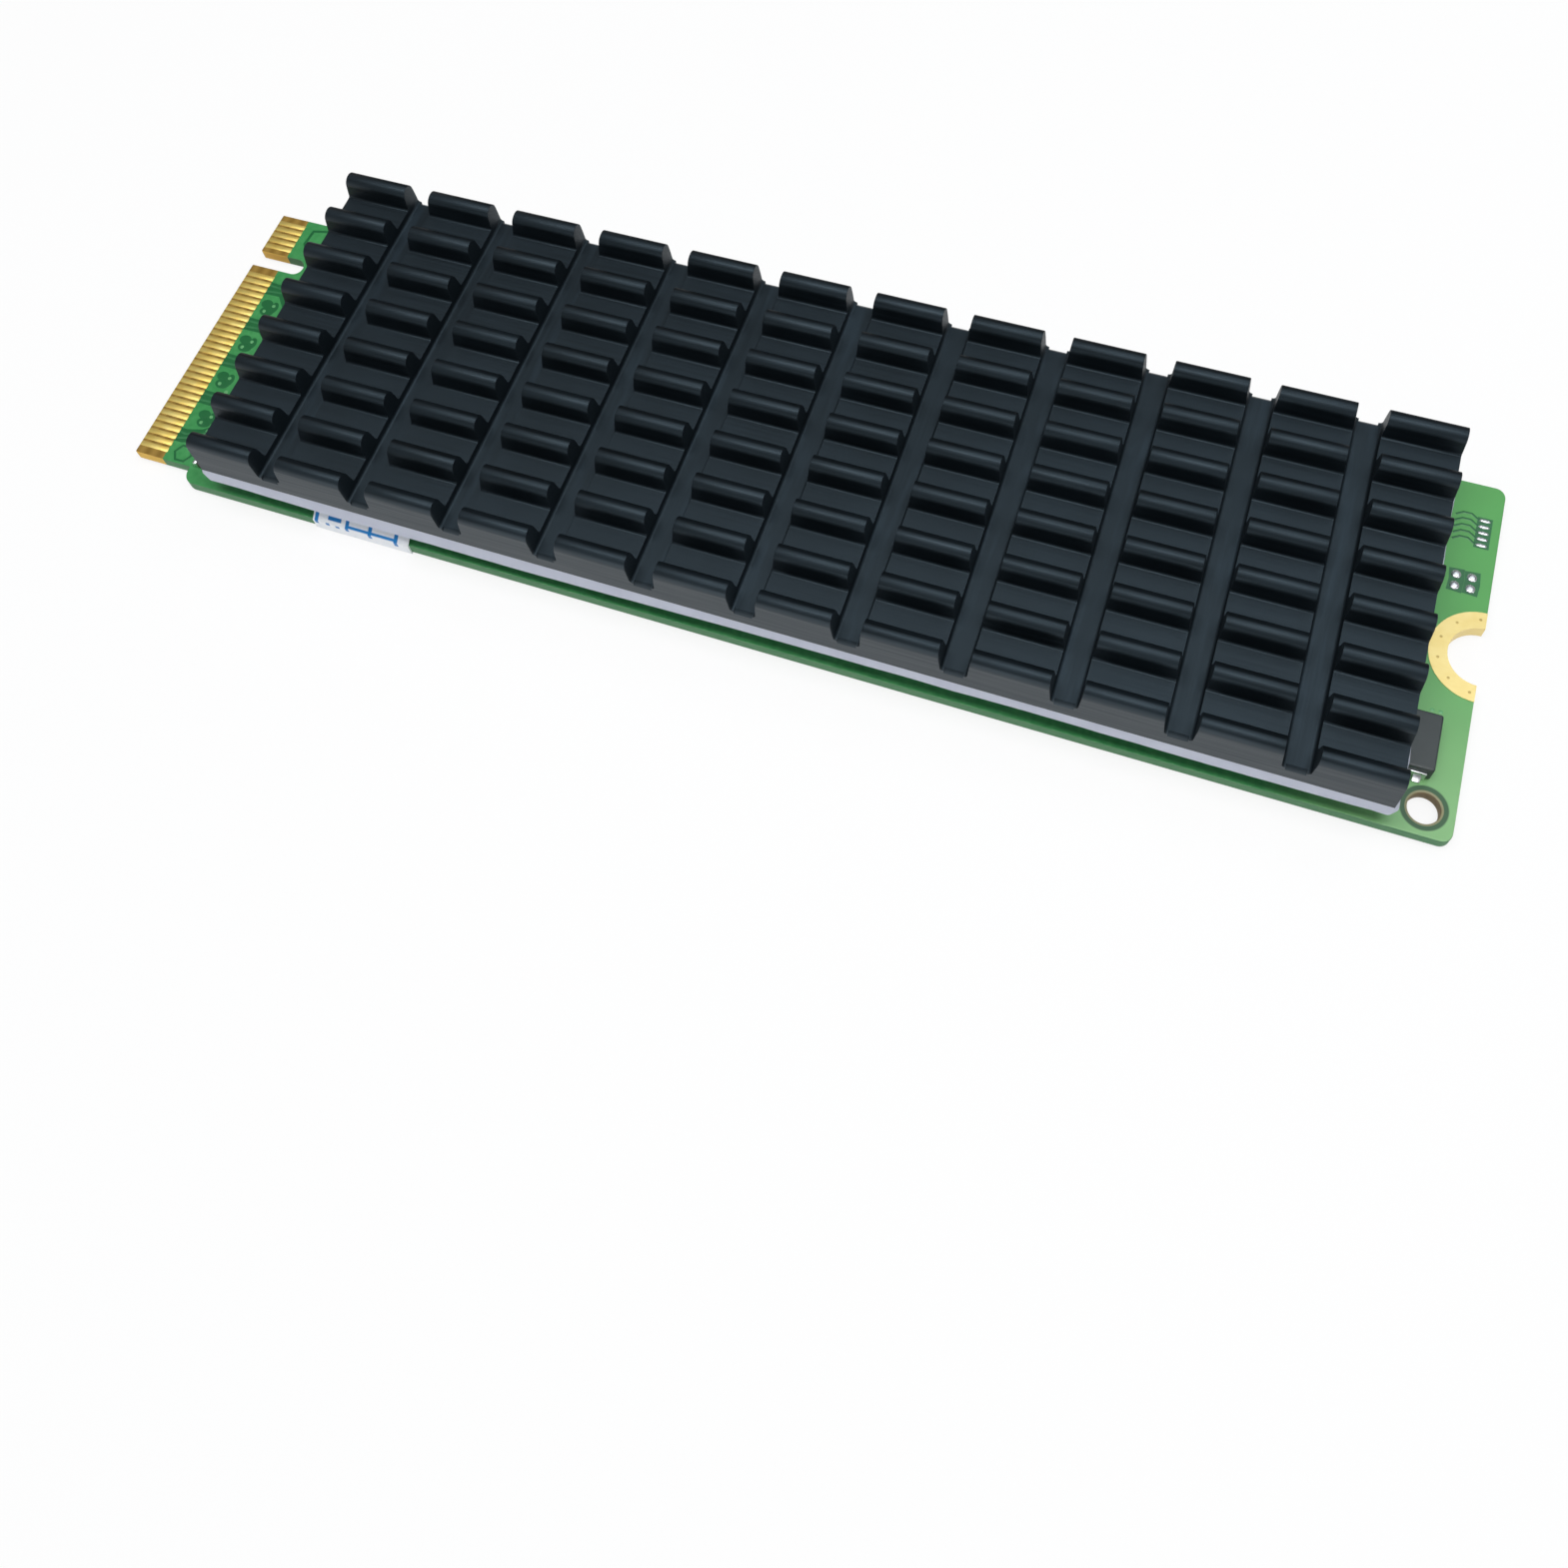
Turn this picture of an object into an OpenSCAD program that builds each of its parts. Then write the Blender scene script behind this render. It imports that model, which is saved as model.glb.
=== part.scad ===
// Solid-state drive card with its stick-on heat sink, as one stack:
// the bare card, its chips, a soft thermal pad, and a black fin block on top.
// The origin is in the middle of the card's underside. +X runs from the edge contacts
// to the screw notch, +Y to the short contact tab, and +Z up through the fins.

/* [Card] */
// Length of the card, from the contact edge to the screw edge
board_l = 80; // [78:1:90]
// Width of the card
board_w = 22; // [21:0.5:24]
// Thickness of the bare card
board_t = 0.8; // [0.6:0.1:1.6]
// Radius of the two corners at the screw edge
far_corner_r = 0.6; // [0.2:0.1:1]
// Radius of the two outer corners behind the tongue
shoulder_r = 0.8; // [0.2:0.1:1.2]

/* [Edge connector] */
// Width of the tongue that enters the socket
tongue_w = 19.85; // [19.6:0.05:20.1]
// Length of the tongue
tongue_l = 4; // [3.5:0.1:5]
// Side distance from the card's centre line to the key notch
key_y = 6.125; // [6:0.005:6.25]
// Width of the key notch
key_w = 1.2; // [1:0.05:1.3]
// Depth of the key notch from the contact edge
key_l = 3.5; // [2.5:0.1:4]
// Pitch of the contacts on each face
contact_pitch = 0.5; // [0.48:0.005:0.51]
// Width of one contact
contact_w = 0.35; // [0.2:0.01:0.4]
// Length of one contact
contact_l = 2; // [1.5:0.1:2.6]
// Distance of a contact's tip from the card's edge
contact_inset = 0.05; // [0.02:0.01:0.4]
// Thickness of every gold or tinned layer on the card
plating_t = 0.035; // [0.02:0.005:0.08]

/* [Screw notch and tooling holes] */
// Radius of the half-round screw notch
notch_r = 1.75; // [1.5:0.05:2]
// Outer radius of its plated ring
ring_r = 2.75; // [2.4:0.05:3.2]
// Radius of the two tooling holes
tool_hole_r = 0.85; // [0.5:0.05:1]
// Distance of the far tooling hole from the screw edge
far_hole_x = 1.6; // [1.3:0.1:2]
// Distance of the near tooling hole from the contact edge
near_hole_x = 5.6; // [5.4:0.1:6]
// Distance of both tooling holes from the long edge beside them
tool_hole_edge = 1.55; // [1.3:0.05:2]

/* [Heat sink] */
// Length of the fin block
sink_l = 70; // [62:1:72]
// Width of the fin block
sink_w = 22; // [20:0.5:24]
// Height from its underside to the fin tips
sink_h = 3; // [2.8:0.1:6]
// Thickness under the long grooves
groove_floor = 1.6; // [1.3:0.1:1.8]
// Thickness under the cross cuts
cut_floor = 1.15; // [0.8:0.05:1.25]
// Number of fins across the block
fin_count = 8; // [6:1:9]
// Radius of the rounded fin tips
tip_r = 0.55; // [0.4:0.05:0.6]
// Slope of the fin sides, in degrees from upright
fin_taper = 8; // [2:1:10]
// Radius where the fins meet the groove floors
root_r = 0.15; // [0.1:0.05:0.4]
// Number of fin segments along the block
segment_count = 12; // [8:1:13]
// Width of a cross cut between the fin tips
cut_w = 1.74; // [1.3:0.02:2.2]
// Slope of the cross cut's walls, in degrees from upright
cut_taper = 4; // [0:1:7]
// Radius in the bottom corners of a cross cut
cut_r = 0.2; // [0.1:0.05:0.4]
// Bevel at both ends of each cross cut's floor
cut_bevel = 0.25; // [0.1:0.05:0.4]
// Distance from the contact edge to the fin block
sink_x = 6.6; // [6.6:0.1:9]

/* [Thermal pad] */
// Thickness of the squeezed pad
pad_t = 1.1; // [0.5:0.1:2]
// Radius of the pad's corners
pad_corner_r = 0.7; // [0.2:0.1:1.5]

/* [Large chips] */
// Height of the controller and memory packages above the card
chip_h = 1.4; // [1.25:0.05:2]
// Distance from the contact edge to the controller
controller_x = 16; // [15.8:0.1:17]
// Gap between neighbouring packages
chip_gap = 2; // [1.8:0.1:2.4]
// Controller side length
controller_l = 12; // [10:0.5:13]
// Cache memory package, along the card
cache_l = 9; // [7.5:0.5:10]
// Cache memory package, across the card
cache_w = 13; // [10:0.5:15]
// Flash memory package, across the card
flash_w = 18; // [16:0.5:19]
// Distance from the outer flash memory package to the screw edge
far_room = 9; // [8.6:0.1:10]

/* [Small parts] */
// Power manager side length
power_chip_l = 4; // [3:0.5:4]
// Power manager height
power_chip_h = 0.85; // [0.7:0.05:1.1]
// Distance from the contact edge to the power manager's centre
power_x = 11; // [10.4:0.1:11.2]
// Power inductor side length
inductor_l = 2.5; // [2:0.1:2.6]
// Power inductor height
inductor_h = 1.2; // [0.8:0.1:1.2]
// Clock crystal length across the card
crystal_w = 2.5; // [2:0.1:3.2]
// Clock crystal length along the card
crystal_l = 2; // [1.6:0.1:2.2]
// Clock crystal height
crystal_h = 0.7; // [0.5:0.05:0.9]
// Tantalum capacitor length across the card, with its terminals
tantalum_l = 3.5; // [3:0.1:4]
// Tantalum capacitor width along the card
tantalum_w = 2.8; // [2:0.1:3]
// Tantalum capacitor height
tantalum_h = 1.2; // [0.8:0.1:1.2]
// Length of a small ceramic chip part
chip_part_l = 1; // [0.6:0.05:1.1]
// Width of a small ceramic chip part
chip_part_w = 0.5; // [0.3:0.05:0.55]
// Height of a small ceramic capacitor
capacitor_h = 0.5; // [0.3:0.05:0.6]
// Height of a small resistor
resistor_h = 0.35; // [0.2:0.05:0.5]
// Size of the tan bulk capacitor beside the tab, relative to the small ones
bulk_scale = 1.5; // [1.2:0.1:1.6]

/* [Small part places] */
// Distance from the contact edge to the row of parts behind the tab
tab_row_x = 6.05; // [5.9:0.05:7]
// Distance from the long edge to that row's first part
tab_row_edge = 3.5; // [3.3:0.1:3.8]
// Pitch of that row
tab_row_pitch = 0.72; // [0.6:0.02:0.8]
// Distance from the contact edge to the short row in front of it
second_row_x = 4.85; // [4.6:0.05:4.9]
// Distance from the long edge to the short row's first part
second_row_edge = 5.4; // [5.3:0.1:6]
// Pitch of the short row
second_row_pitch = 0.87; // [0.7:0.01:1]
// Distance from the other long edge to the corner group
corner_group_edge = 1.4; // [1.2:0.1:2]
// Pitch of the corner group
corner_group_pitch = 0.75; // [0.6:0.05:0.9]
// Distance from the contact edge to the bulk capacitor
bulk_x = 4.8; // [4.7:0.05:4.9]
// Distance from the long edge to the bulk capacitor
bulk_edge = 3.55; // [3.3:0.05:3.6]
// Distance from the contact edge to the clock crystal
crystal_x = 13.6; // [13:0.1:14]
// Distance from the long edge to the clock crystal
crystal_edge = 2.8; // [2:0.1:3]
// Distance from the long edge to the power manager's centre
power_edge = 6.5; // [6.2:0.1:7]
// Gap between the power manager and the first power inductor
inductor_gap = 1.85; // [0.5:0.05:2]
// Pitch of the two power inductors
inductor_pitch = 4; // [3:0.1:4.5]
// Distance from the screw edge to the tantalum capacitor
tantalum_x = 2.95; // [2.6:0.05:3.2]
// Distance from the long edge to the tantalum capacitor
tantalum_edge = 4.8; // [4.4:0.1:5.2]
// Distance from a package's side to the row of small parts beside it
beside_package = 1.4; // [1:0.1:1.8]
// Pitch of the rows between and beside the packages
gap_row_pitch = 2.4; // [1.4:0.1:2.4]
// Pitch of the row at the card's screw end
end_row_pitch = 1.2; // [0.8:0.1:1.2]
// Side distance from the centre line to that row's middle
end_row_y = 1.5; // [0:0.1:2]

/* [Test pads] */
// Distance from the screw edge to the row of test pads
test_pad_x = 0.9; // [0.5:0.1:1.2]
// Distance from the long edge to the first test pad
test_pad_edge = 2.4; // [1.5:0.1:3]
// Pitch of the test pads
test_pad_pitch = 0.41; // [0.35:0.01:0.45]
// Length of a test pad
test_pad_l = 0.5; // [0.3:0.05:0.6]
// Width of a test pad
test_pad_w = 0.22; // [0.15:0.01:0.3]
// Distance from the screw edge to the four bare pads
bare_pad_x = 1.1; // [0.8:0.1:1.3]
// Distance from the plated ring to the first bare pad, across the card
bare_pad_ring_gap = 1.28; // [0.5:0.02:1.4]
// Distance between two bare pads, along the card
bare_pad_gap = 0.49; // [0.2:0.01:0.6]
// Pitch of the bare pads across the card
bare_pad_pitch = 0.72; // [0.6:0.02:0.9]
// Length of a bare pad
bare_pad_l = 0.36; // [0.2:0.02:0.5]
// Width of a bare pad
bare_pad_w = 0.42; // [0.2:0.02:0.5]
// Diameter of a round test pad on the underside
under_pad_d = 0.4; // [0.2:0.05:0.5]
// Pitch of the underside pads
under_pad_pitch = 0.7; // [0.6:0.02:0.8]
// Distance from the screw edge to the underside pads
under_pad_x = 1.7; // [1.2:0.1:2]
// Distance from the plated ring to the first underside pad, across the card
under_pad_ring_gap = 1.05; // [0.6:0.05:1.6]

/* [Seal label] */
// Width of the paper strip along the card
label_w = 6.5; // [5:0.5:8]
// Distance from the contact edge to the strip
label_x = 13.4; // [12.5:0.1:14]
// Thickness of the paper
label_t = 0.1; // [0.05:0.01:0.15]
// Length of its flap on the chip tops
label_top_flap = 7; // [6:0.5:9]
// Length of its flap on the card's underside
label_under_flap = 4.5; // [3:0.5:7]

/* [Hidden] */
$fn = 64;
cut_over = 1;

edge_x = -board_l / 2;
far_x = board_l / 2;
chip_top = board_t + chip_h;
sink_z = chip_top + pad_t;
sink_mid_x = edge_x + sink_x + sink_l / 2;

// Fin section: where the sloped sides touch the tip circle, and where they meet the floor
tip_z = sink_h - tip_r;
touch_y = tip_r * cos(fin_taper);
touch_z = tip_z + tip_r * sin(fin_taper);
root_y = touch_y + (touch_z - groove_floor) * tan(fin_taper);
fin_pitch = (sink_w - 2 * tip_r) / (fin_count - 1);
segment_l = (sink_l - (segment_count - 1) * cut_w) / segment_count;
cut_half_floor = cut_w / 2 - (sink_h - cut_floor) * tan(cut_taper);

// Contact rows: the key notch takes four positions out of each face,
// and the underside row lies half a pitch to one side
long_row = 29;
key_gap = 4;
top_tab_row = 5;
bottom_tab_row = 4;
top_middle = 18.5;
bottom_middle = 18;

// Package places, one after the other along the card. Both flash packages share
// the room that is left between the cache memory and the card's screw end
cache_x = controller_x + controller_l + chip_gap;
inner_flash_x = cache_x + cache_l + chip_gap;
flash_l = (board_l - far_room - inner_flash_x - chip_gap) / 2;
outer_flash_x = inner_flash_x + flash_l + chip_gap;

function from_edge(x) = edge_x + x;

// End cap of a small part, and how far it stands proud of the body
cap_share = 0.25;
cap_proud = 0.02;

// Terminal of the tantalum capacitor: along the card, thickness, height
tantalum_foot = [2.2, 0.1, 0.75];

// A row of count places, each [distance from the contact edge, y, turn in degrees]
function row(x, first_y, pitch, count, turn) = [for (i = [0 : count - 1]) [x, first_y + i * pitch, turn]];
function centred_row(x, middle_y, pitch, count) =
    row(x, middle_y - (count - 1) / 2 * pitch, pitch, count, 90);
function picked(list, odd) = [for (i = [0 : len(list) - 1]) if (i % 2 == odd) list[i]];

tab_row = row(tab_row_x, board_w / 2 - tab_row_edge, -tab_row_pitch, 6, 0);
second_row = row(second_row_x, board_w / 2 - second_row_edge, -second_row_pitch, 4, 0);
corner_y = -board_w / 2 + corner_group_edge;
corner_group = [for (x = [second_row_x, tab_row_x]) each row(x, corner_y, corner_group_pitch, 3, 0)];
cache_gap_row = centred_row(cache_x - chip_gap / 2, 0, gap_row_pitch, 5);
flash_gap_row = centred_row(inner_flash_x - chip_gap / 2, 0, gap_row_pitch, 5);
middle_gap_row = centred_row(outer_flash_x - chip_gap / 2, 0, gap_row_pitch, 7);
end_row = centred_row(board_l - far_room + beside_package, end_row_y, end_row_pitch, 7);
controller_sides = [for (side = [-1, 1]) for (i = [-1.5 : 1.5])
    [controller_x + controller_l / 2 + i * gap_row_pitch, side * (controller_l / 2 + beside_package), 0]];

capacitor_places = concat(picked(tab_row, 0), second_row, picked(corner_group, 0), cache_gap_row,
    flash_gap_row, middle_gap_row, picked(controller_sides, 0));
resistor_places = concat(picked(tab_row, 1), picked(corner_group, 1), end_row, picked(controller_sides, 1));
bulk_place = [[bulk_x, board_w / 2 - bulk_edge, 90]];
power_y = board_w / 2 - power_edge;
first_inductor_y = power_y - power_chip_l / 2 - inductor_gap - inductor_l / 2;
inductor_places = row(power_x, first_inductor_y, -inductor_pitch, 2, 0);

// A groove section standing on floor_z: sloped walls up to top_z, and round bottom corners
module groove_section(half_floor, slope, floor_z, top_z, corner_r) {
    half_top = half_floor + (top_z - floor_z) * tan(slope);
    corner_y = half_floor - corner_r * (1 - sin(slope)) / cos(slope);
    wall_y = corner_y + corner_r * cos(slope);
    wall_z = floor_z + corner_r * (1 - sin(slope));
    difference() {
        polygon([[-half_floor, floor_z], [half_floor, floor_z], [half_top, top_z], [-half_top, top_z]]);
        for (side = [0, 1])
            mirror([side, 0])
                difference() {
                    polygon([[corner_y, floor_z - cut_over], [corner_y, floor_z], [wall_y, wall_z],
                        [half_floor + cut_over, wall_z], [half_floor + cut_over, floor_z - cut_over]]);
                    translate([corner_y, floor_z + corner_r])
                        circle(r = corner_r);
                }
    }
}

// What is taken away beside and above one half of a fin tip, out to reach
module tip_relief(from_z, reach) {
    difference() {
        translate([0, from_z])
            square([reach, sink_h - from_z + cut_over]);
        translate([0, tip_z])
            circle(r = tip_r);
    }
}

// Cross-section of the fin block: grooves between tapered, round-tipped fins
module fin_block_section() {
    first_fin = -(fin_count - 1) / 2 * fin_pitch;
    difference() {
        translate([-sink_w / 2, 0])
            square([sink_w, sink_h]);
        for (i = [0 : fin_count - 2])
            translate([first_fin + (i + 0.5) * fin_pitch, 0])
                groove_section(fin_pitch / 2 - root_y, fin_taper, groove_floor, touch_z, root_r);
        for (i = [0 : fin_count - 2])
            translate([first_fin + i * fin_pitch, 0])
                tip_relief(touch_z, fin_pitch / 2);
        for (i = [1 : fin_count - 1])
            translate([first_fin + i * fin_pitch, 0])
                mirror([1, 0])
                    tip_relief(touch_z, fin_pitch / 2);
        for (side = [0, 1])
            mirror([side, 0])
                translate([-first_fin, 0])
                    tip_relief(tip_z, tip_r + cut_over);
    }
}

// One cross cut through all the fins, with a bevel where its floor runs out
module cross_cut() {
    bevel_side = cut_bevel * sqrt(2);
    rotate([90, 0, 0])
        translate([0, 0, -sink_w / 2 - cut_over])
            linear_extrude(sink_w + 2 * cut_over)
                groove_section(cut_half_floor, cut_taper, cut_floor, sink_h + cut_over, cut_r);
    for (side = [-1, 1])
        translate([-cut_half_floor + cut_r, side * sink_w / 2, cut_floor])
            rotate([45, 0, 0])
                translate([0, -bevel_side / 2, -bevel_side / 2])
                    cube([2 * (cut_half_floor - cut_r), bevel_side, bevel_side]);
}

module heat_sink() {
    color("#14181c")
        translate([sink_mid_x, 0, sink_z])
            difference() {
                rotate([90, 0, 90])
                    translate([0, 0, -sink_l / 2])
                        linear_extrude(sink_l)
                            fin_block_section();
                for (k = [1 : segment_count - 1])
                    translate([-sink_l / 2 + k * (segment_l + cut_w) - cut_w / 2, 0, 0])
                        cross_cut();
            }
}

// Plate with four round corners, its underside at z = 0
module round_plate(l, w, t, r) {
    difference() {
        translate([-l / 2, -w / 2, 0])
            cube([l, w, t]);
        for (sx = [-1, 1])
            for (sy = [-1, 1])
                translate([sx * l / 2, sy * w / 2, 0])
                    corner_relief(r, t, sx, sy);
    }
}

// The sliver outside a round corner of a plate, for the corner that points along sx, sy
module corner_relief(r, t, sx, sy) {
    translate([0, 0, -cut_over])
        linear_extrude(t + 2 * cut_over)
            mirror_to(sx, sy)
                difference() {
                    translate([-r, -r])
                        square([r + cut_over, r + cut_over]);
                    translate([-r, -r])
                        circle(r = r);
                }
}

// Mirrors a shape drawn for the corner at +X, +Y to the corner that points along sx, sy
module mirror_to(sx, sy) {
    mirror([sx < 0 ? 1 : 0, 0])
        mirror([0, sy < 0 ? 1 : 0])
            children();
}

module thermal_pad() {
    color("#c8c8dc")
        difference() {
            translate([sink_mid_x, 0, chip_top])
                round_plate(sink_l, sink_w, pad_t, pad_corner_r);
            label_top_flap_space();
        }
}

// Outline of the bare card, seen from above
module board_outline() {
    tongue_half = tongue_w / 2;
    difference() {
        translate([edge_x, -board_w / 2])
            square([board_l, board_w]);
        for (side = [0, 1])
            mirror([0, side])
                translate([edge_x - cut_over, tongue_half])
                    square([tongue_l + cut_over, board_w]);
        translate([edge_x - cut_over, key_y - key_w / 2])
            square([key_l - key_w / 2 + cut_over, key_w]);
        translate([edge_x + key_l - key_w / 2, key_y])
            circle(r = key_w / 2);
        translate([far_x, 0])
            circle(r = notch_r + plating_t);
        translate([far_x - far_hole_x, -board_w / 2 + tool_hole_edge])
            circle(r = tool_hole_r);
        translate([from_edge(near_hole_x), board_w / 2 - tool_hole_edge])
            circle(r = tool_hole_r);
    }
}

module circuit_board() {
    color("#1f7a38")
        difference() {
            linear_extrude(board_t)
                board_outline();
            for (sy = [-1, 1]) {
                translate([far_x, sy * board_w / 2, 0])
                    corner_relief(far_corner_r, board_t, 1, sy);
                translate([from_edge(tongue_l), sy * board_w / 2, 0])
                    corner_relief(shoulder_r, board_t, -1, sy);
            }
        }
}

// One face's row of contacts; middle is the position on the centre line, z the plating's underside
module contact_row(middle, tab_row, z) {
    for (i = [0 : long_row + key_gap + tab_row - 1])
        if (i < long_row || i >= long_row + key_gap)
            translate([edge_x + contact_inset, (i - middle) * contact_pitch - contact_w / 2, z])
                cube([contact_l, contact_w, plating_t]);
}

module top_edge_contacts() {
    color("#e8c35a")
        contact_row(top_middle, top_tab_row, board_t);
}

module bottom_edge_contacts() {
    color("#e8c35a")
        contact_row(bottom_middle, bottom_tab_row, -plating_t);
}

// Plated wall of the screw notch, with a half ring on each face
module screw_notch_plating() {
    color("#f0d878")
        translate([far_x, 0, 0])
            intersection() {
                union() {
                    for (z = [-plating_t, board_t])
                        translate([0, 0, z])
                            tube(ring_r, notch_r, plating_t);
                    translate([0, 0, -plating_t])
                        tube(notch_r + plating_t, notch_r, board_t + 2 * plating_t);
                }
                translate([-ring_r - cut_over, -ring_r - cut_over, -cut_over])
                    cube([ring_r + cut_over, 2 * (ring_r + cut_over), board_t + 2 * cut_over]);
            }
}

module tube(outer_r, inner_r, h) {
    difference() {
        cylinder(r = outer_r, h = h);
        translate([0, 0, -cut_over])
            cylinder(r = inner_r, h = h + 2 * cut_over);
    }
}

// A package standing on the card, its near side at x from the contact edge
module package(x, l, w, h) {
    translate([from_edge(x), -w / 2, board_t])
        cube([l, w, h]);
}

module controller_chip() {
    color("#202326")
        package(controller_x, controller_l, controller_l, chip_h);
}

module cache_memory_chip() {
    color("#202326")
        package(cache_x, cache_l, cache_w, chip_h);
}

module inner_flash_chip() {
    color("#202326")
        package(inner_flash_x, flash_l, flash_w, chip_h);
}

module outer_flash_chip() {
    color("#202326")
        package(outer_flash_x, flash_l, flash_w, chip_h);
}

module power_chip() {
    color("#202326")
        translate([0, power_y, 0])
            package(power_x - power_chip_l / 2, power_chip_l, power_chip_l, power_chip_h);
}

// Moves a small part to each place on the card, its long side along X before the turn
module at_places(places) {
    for (p = places)
        translate([from_edge(p[0]), p[1], board_t])
            rotate([0, 0, p[2]])
                children();
}

// Ceramic or ferrite body between two end caps
module part_body(l, w, h) {
    body_l = l * (1 - 2 * cap_share);
    translate([-body_l / 2, -w / 2 + cap_proud, 0])
        cube([body_l, w - 2 * cap_proud, h - cap_proud]);
}

// The two metal end caps of a small part
module part_caps(l, w, h) {
    cap_l = l * cap_share;
    for (side = [0, 1])
        mirror([side, 0, 0])
            translate([l / 2 - cap_l, -w / 2, 0])
                cube([cap_l, w, h]);
}

module power_inductors() {
    color("#3a3d42")
        at_places(inductor_places)
            part_body(inductor_l, inductor_l, inductor_h);
}

module inductor_terminals() {
    color("#b9bdc4")
        at_places(inductor_places)
            part_caps(inductor_l, inductor_l, inductor_h);
}

module clock_crystal() {
    color("#c3c7cd")
        translate([0, board_w / 2 - crystal_edge, 0])
            package(crystal_x - crystal_l / 2, crystal_l, crystal_w, crystal_h);
}

// Moves the tantalum capacitor's pieces to its middle on the card
module at_tantalum() {
    translate([far_x - tantalum_x, -board_w / 2 + tantalum_edge, board_t])
        children();
}

module tantalum_capacitor() {
    body_l = tantalum_l - 2 * tantalum_foot[1];
    color("#2b3033")
        at_tantalum()
            translate([-tantalum_w / 2, -body_l / 2, 0])
                cube([tantalum_w, body_l, tantalum_h]);
}

module tantalum_terminals() {
    color("#c9ccd2")
        at_tantalum()
            for (side = [0, 1])
                mirror([0, side, 0])
                    translate([-tantalum_foot[0] / 2, tantalum_l / 2 - tantalum_foot[1], 0])
                        cube(tantalum_foot);
}

module bulk_capacitor() {
    color("#b08d62")
        at_places(bulk_place)
            part_body(chip_part_l * bulk_scale, chip_part_w * bulk_scale, capacitor_h * bulk_scale);
}

module bulk_capacitor_terminals() {
    color("#c9ccd2")
        at_places(bulk_place)
            part_caps(chip_part_l * bulk_scale, chip_part_w * bulk_scale, capacitor_h * bulk_scale);
}

module ceramic_capacitors() {
    color("#9a7a58")
        at_places(capacitor_places)
            part_body(chip_part_l, chip_part_w, capacitor_h);
}

module capacitor_terminals() {
    color("#c9ccd2")
        at_places(capacitor_places)
            part_caps(chip_part_l, chip_part_w, capacitor_h);
}

module chip_resistors() {
    color("#1b1c1e")
        at_places(resistor_places)
            part_body(chip_part_l, chip_part_w, resistor_h);
}

module resistor_terminals() {
    color("#c9ccd2")
        at_places(resistor_places)
            part_caps(chip_part_l, chip_part_w, resistor_h);
}

module test_pads() {
    color("#d9dce0")
        for (j = [0 : 4])
            translate([far_x - test_pad_x, board_w / 2 - test_pad_edge - j * test_pad_pitch, board_t])
                flat_pad(test_pad_l, test_pad_w);
}

module bare_pads() {
    color("#d9dce0")
        for (i = [0 : 1])
            for (j = [0 : 1])
                translate([far_x - bare_pad_x - i * (bare_pad_l + bare_pad_gap),
                    ring_r + bare_pad_ring_gap + j * bare_pad_pitch, board_t])
                    flat_pad(bare_pad_l, bare_pad_w);
}

// A tinned pad with its middle at the origin
module flat_pad(l, w) {
    translate([-l / 2, -w / 2, 0])
        cube([l, w, plating_t]);
}

module underside_test_pads() {
    color("#d9dce0")
        for (i = [0 : 2])
            for (j = [0 : 5])
                translate([far_x - under_pad_x - i * under_pad_pitch,
                    -ring_r - under_pad_ring_gap - j * under_pad_pitch, -plating_t])
                    cylinder(d = under_pad_d, h = plating_t);
}

// The room that the label's upper flap takes between the chips and the pad
module label_top_flap_space() {
    translate([from_edge(label_x), -board_w / 2 - label_t, chip_top])
        cube([label_w, label_top_flap + label_t, label_t]);
}

// Paper strip folded round the long edge: on the chip tops, down the side, and under the card
module seal_label() {
    outer_y = -board_w / 2 - label_t;
    side_h = chip_top + 2 * label_t;
    color("#eef1f6")
        translate([from_edge(label_x), 0, 0])
            rotate([90, 0, 90])
                linear_extrude(label_w)
                    difference() {
                        translate([outer_y, -label_t])
                            square([label_top_flap + label_t, side_h]);
                        translate([-board_w / 2, 0])
                            square([label_top_flap + cut_over, chip_top]);
                        translate([-board_w / 2 + label_under_flap, -label_t - cut_over])
                            square([label_top_flap, cut_over + label_t + chip_top / 2]);
                    }
}

heat_sink();
thermal_pad();
circuit_board();
top_edge_contacts();
bottom_edge_contacts();
screw_notch_plating();
controller_chip();
cache_memory_chip();
inner_flash_chip();
outer_flash_chip();
power_chip();
power_inductors();
inductor_terminals();
clock_crystal();
tantalum_capacitor();
tantalum_terminals();
bulk_capacitor();
bulk_capacitor_terminals();
ceramic_capacitors();
capacitor_terminals();
chip_resistors();
resistor_terminals();
test_pads();
bare_pads();
underside_test_pads();
seal_label();
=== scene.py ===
import math
import random

import bmesh
import bpy
from mathutils import Matrix, Vector


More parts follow.
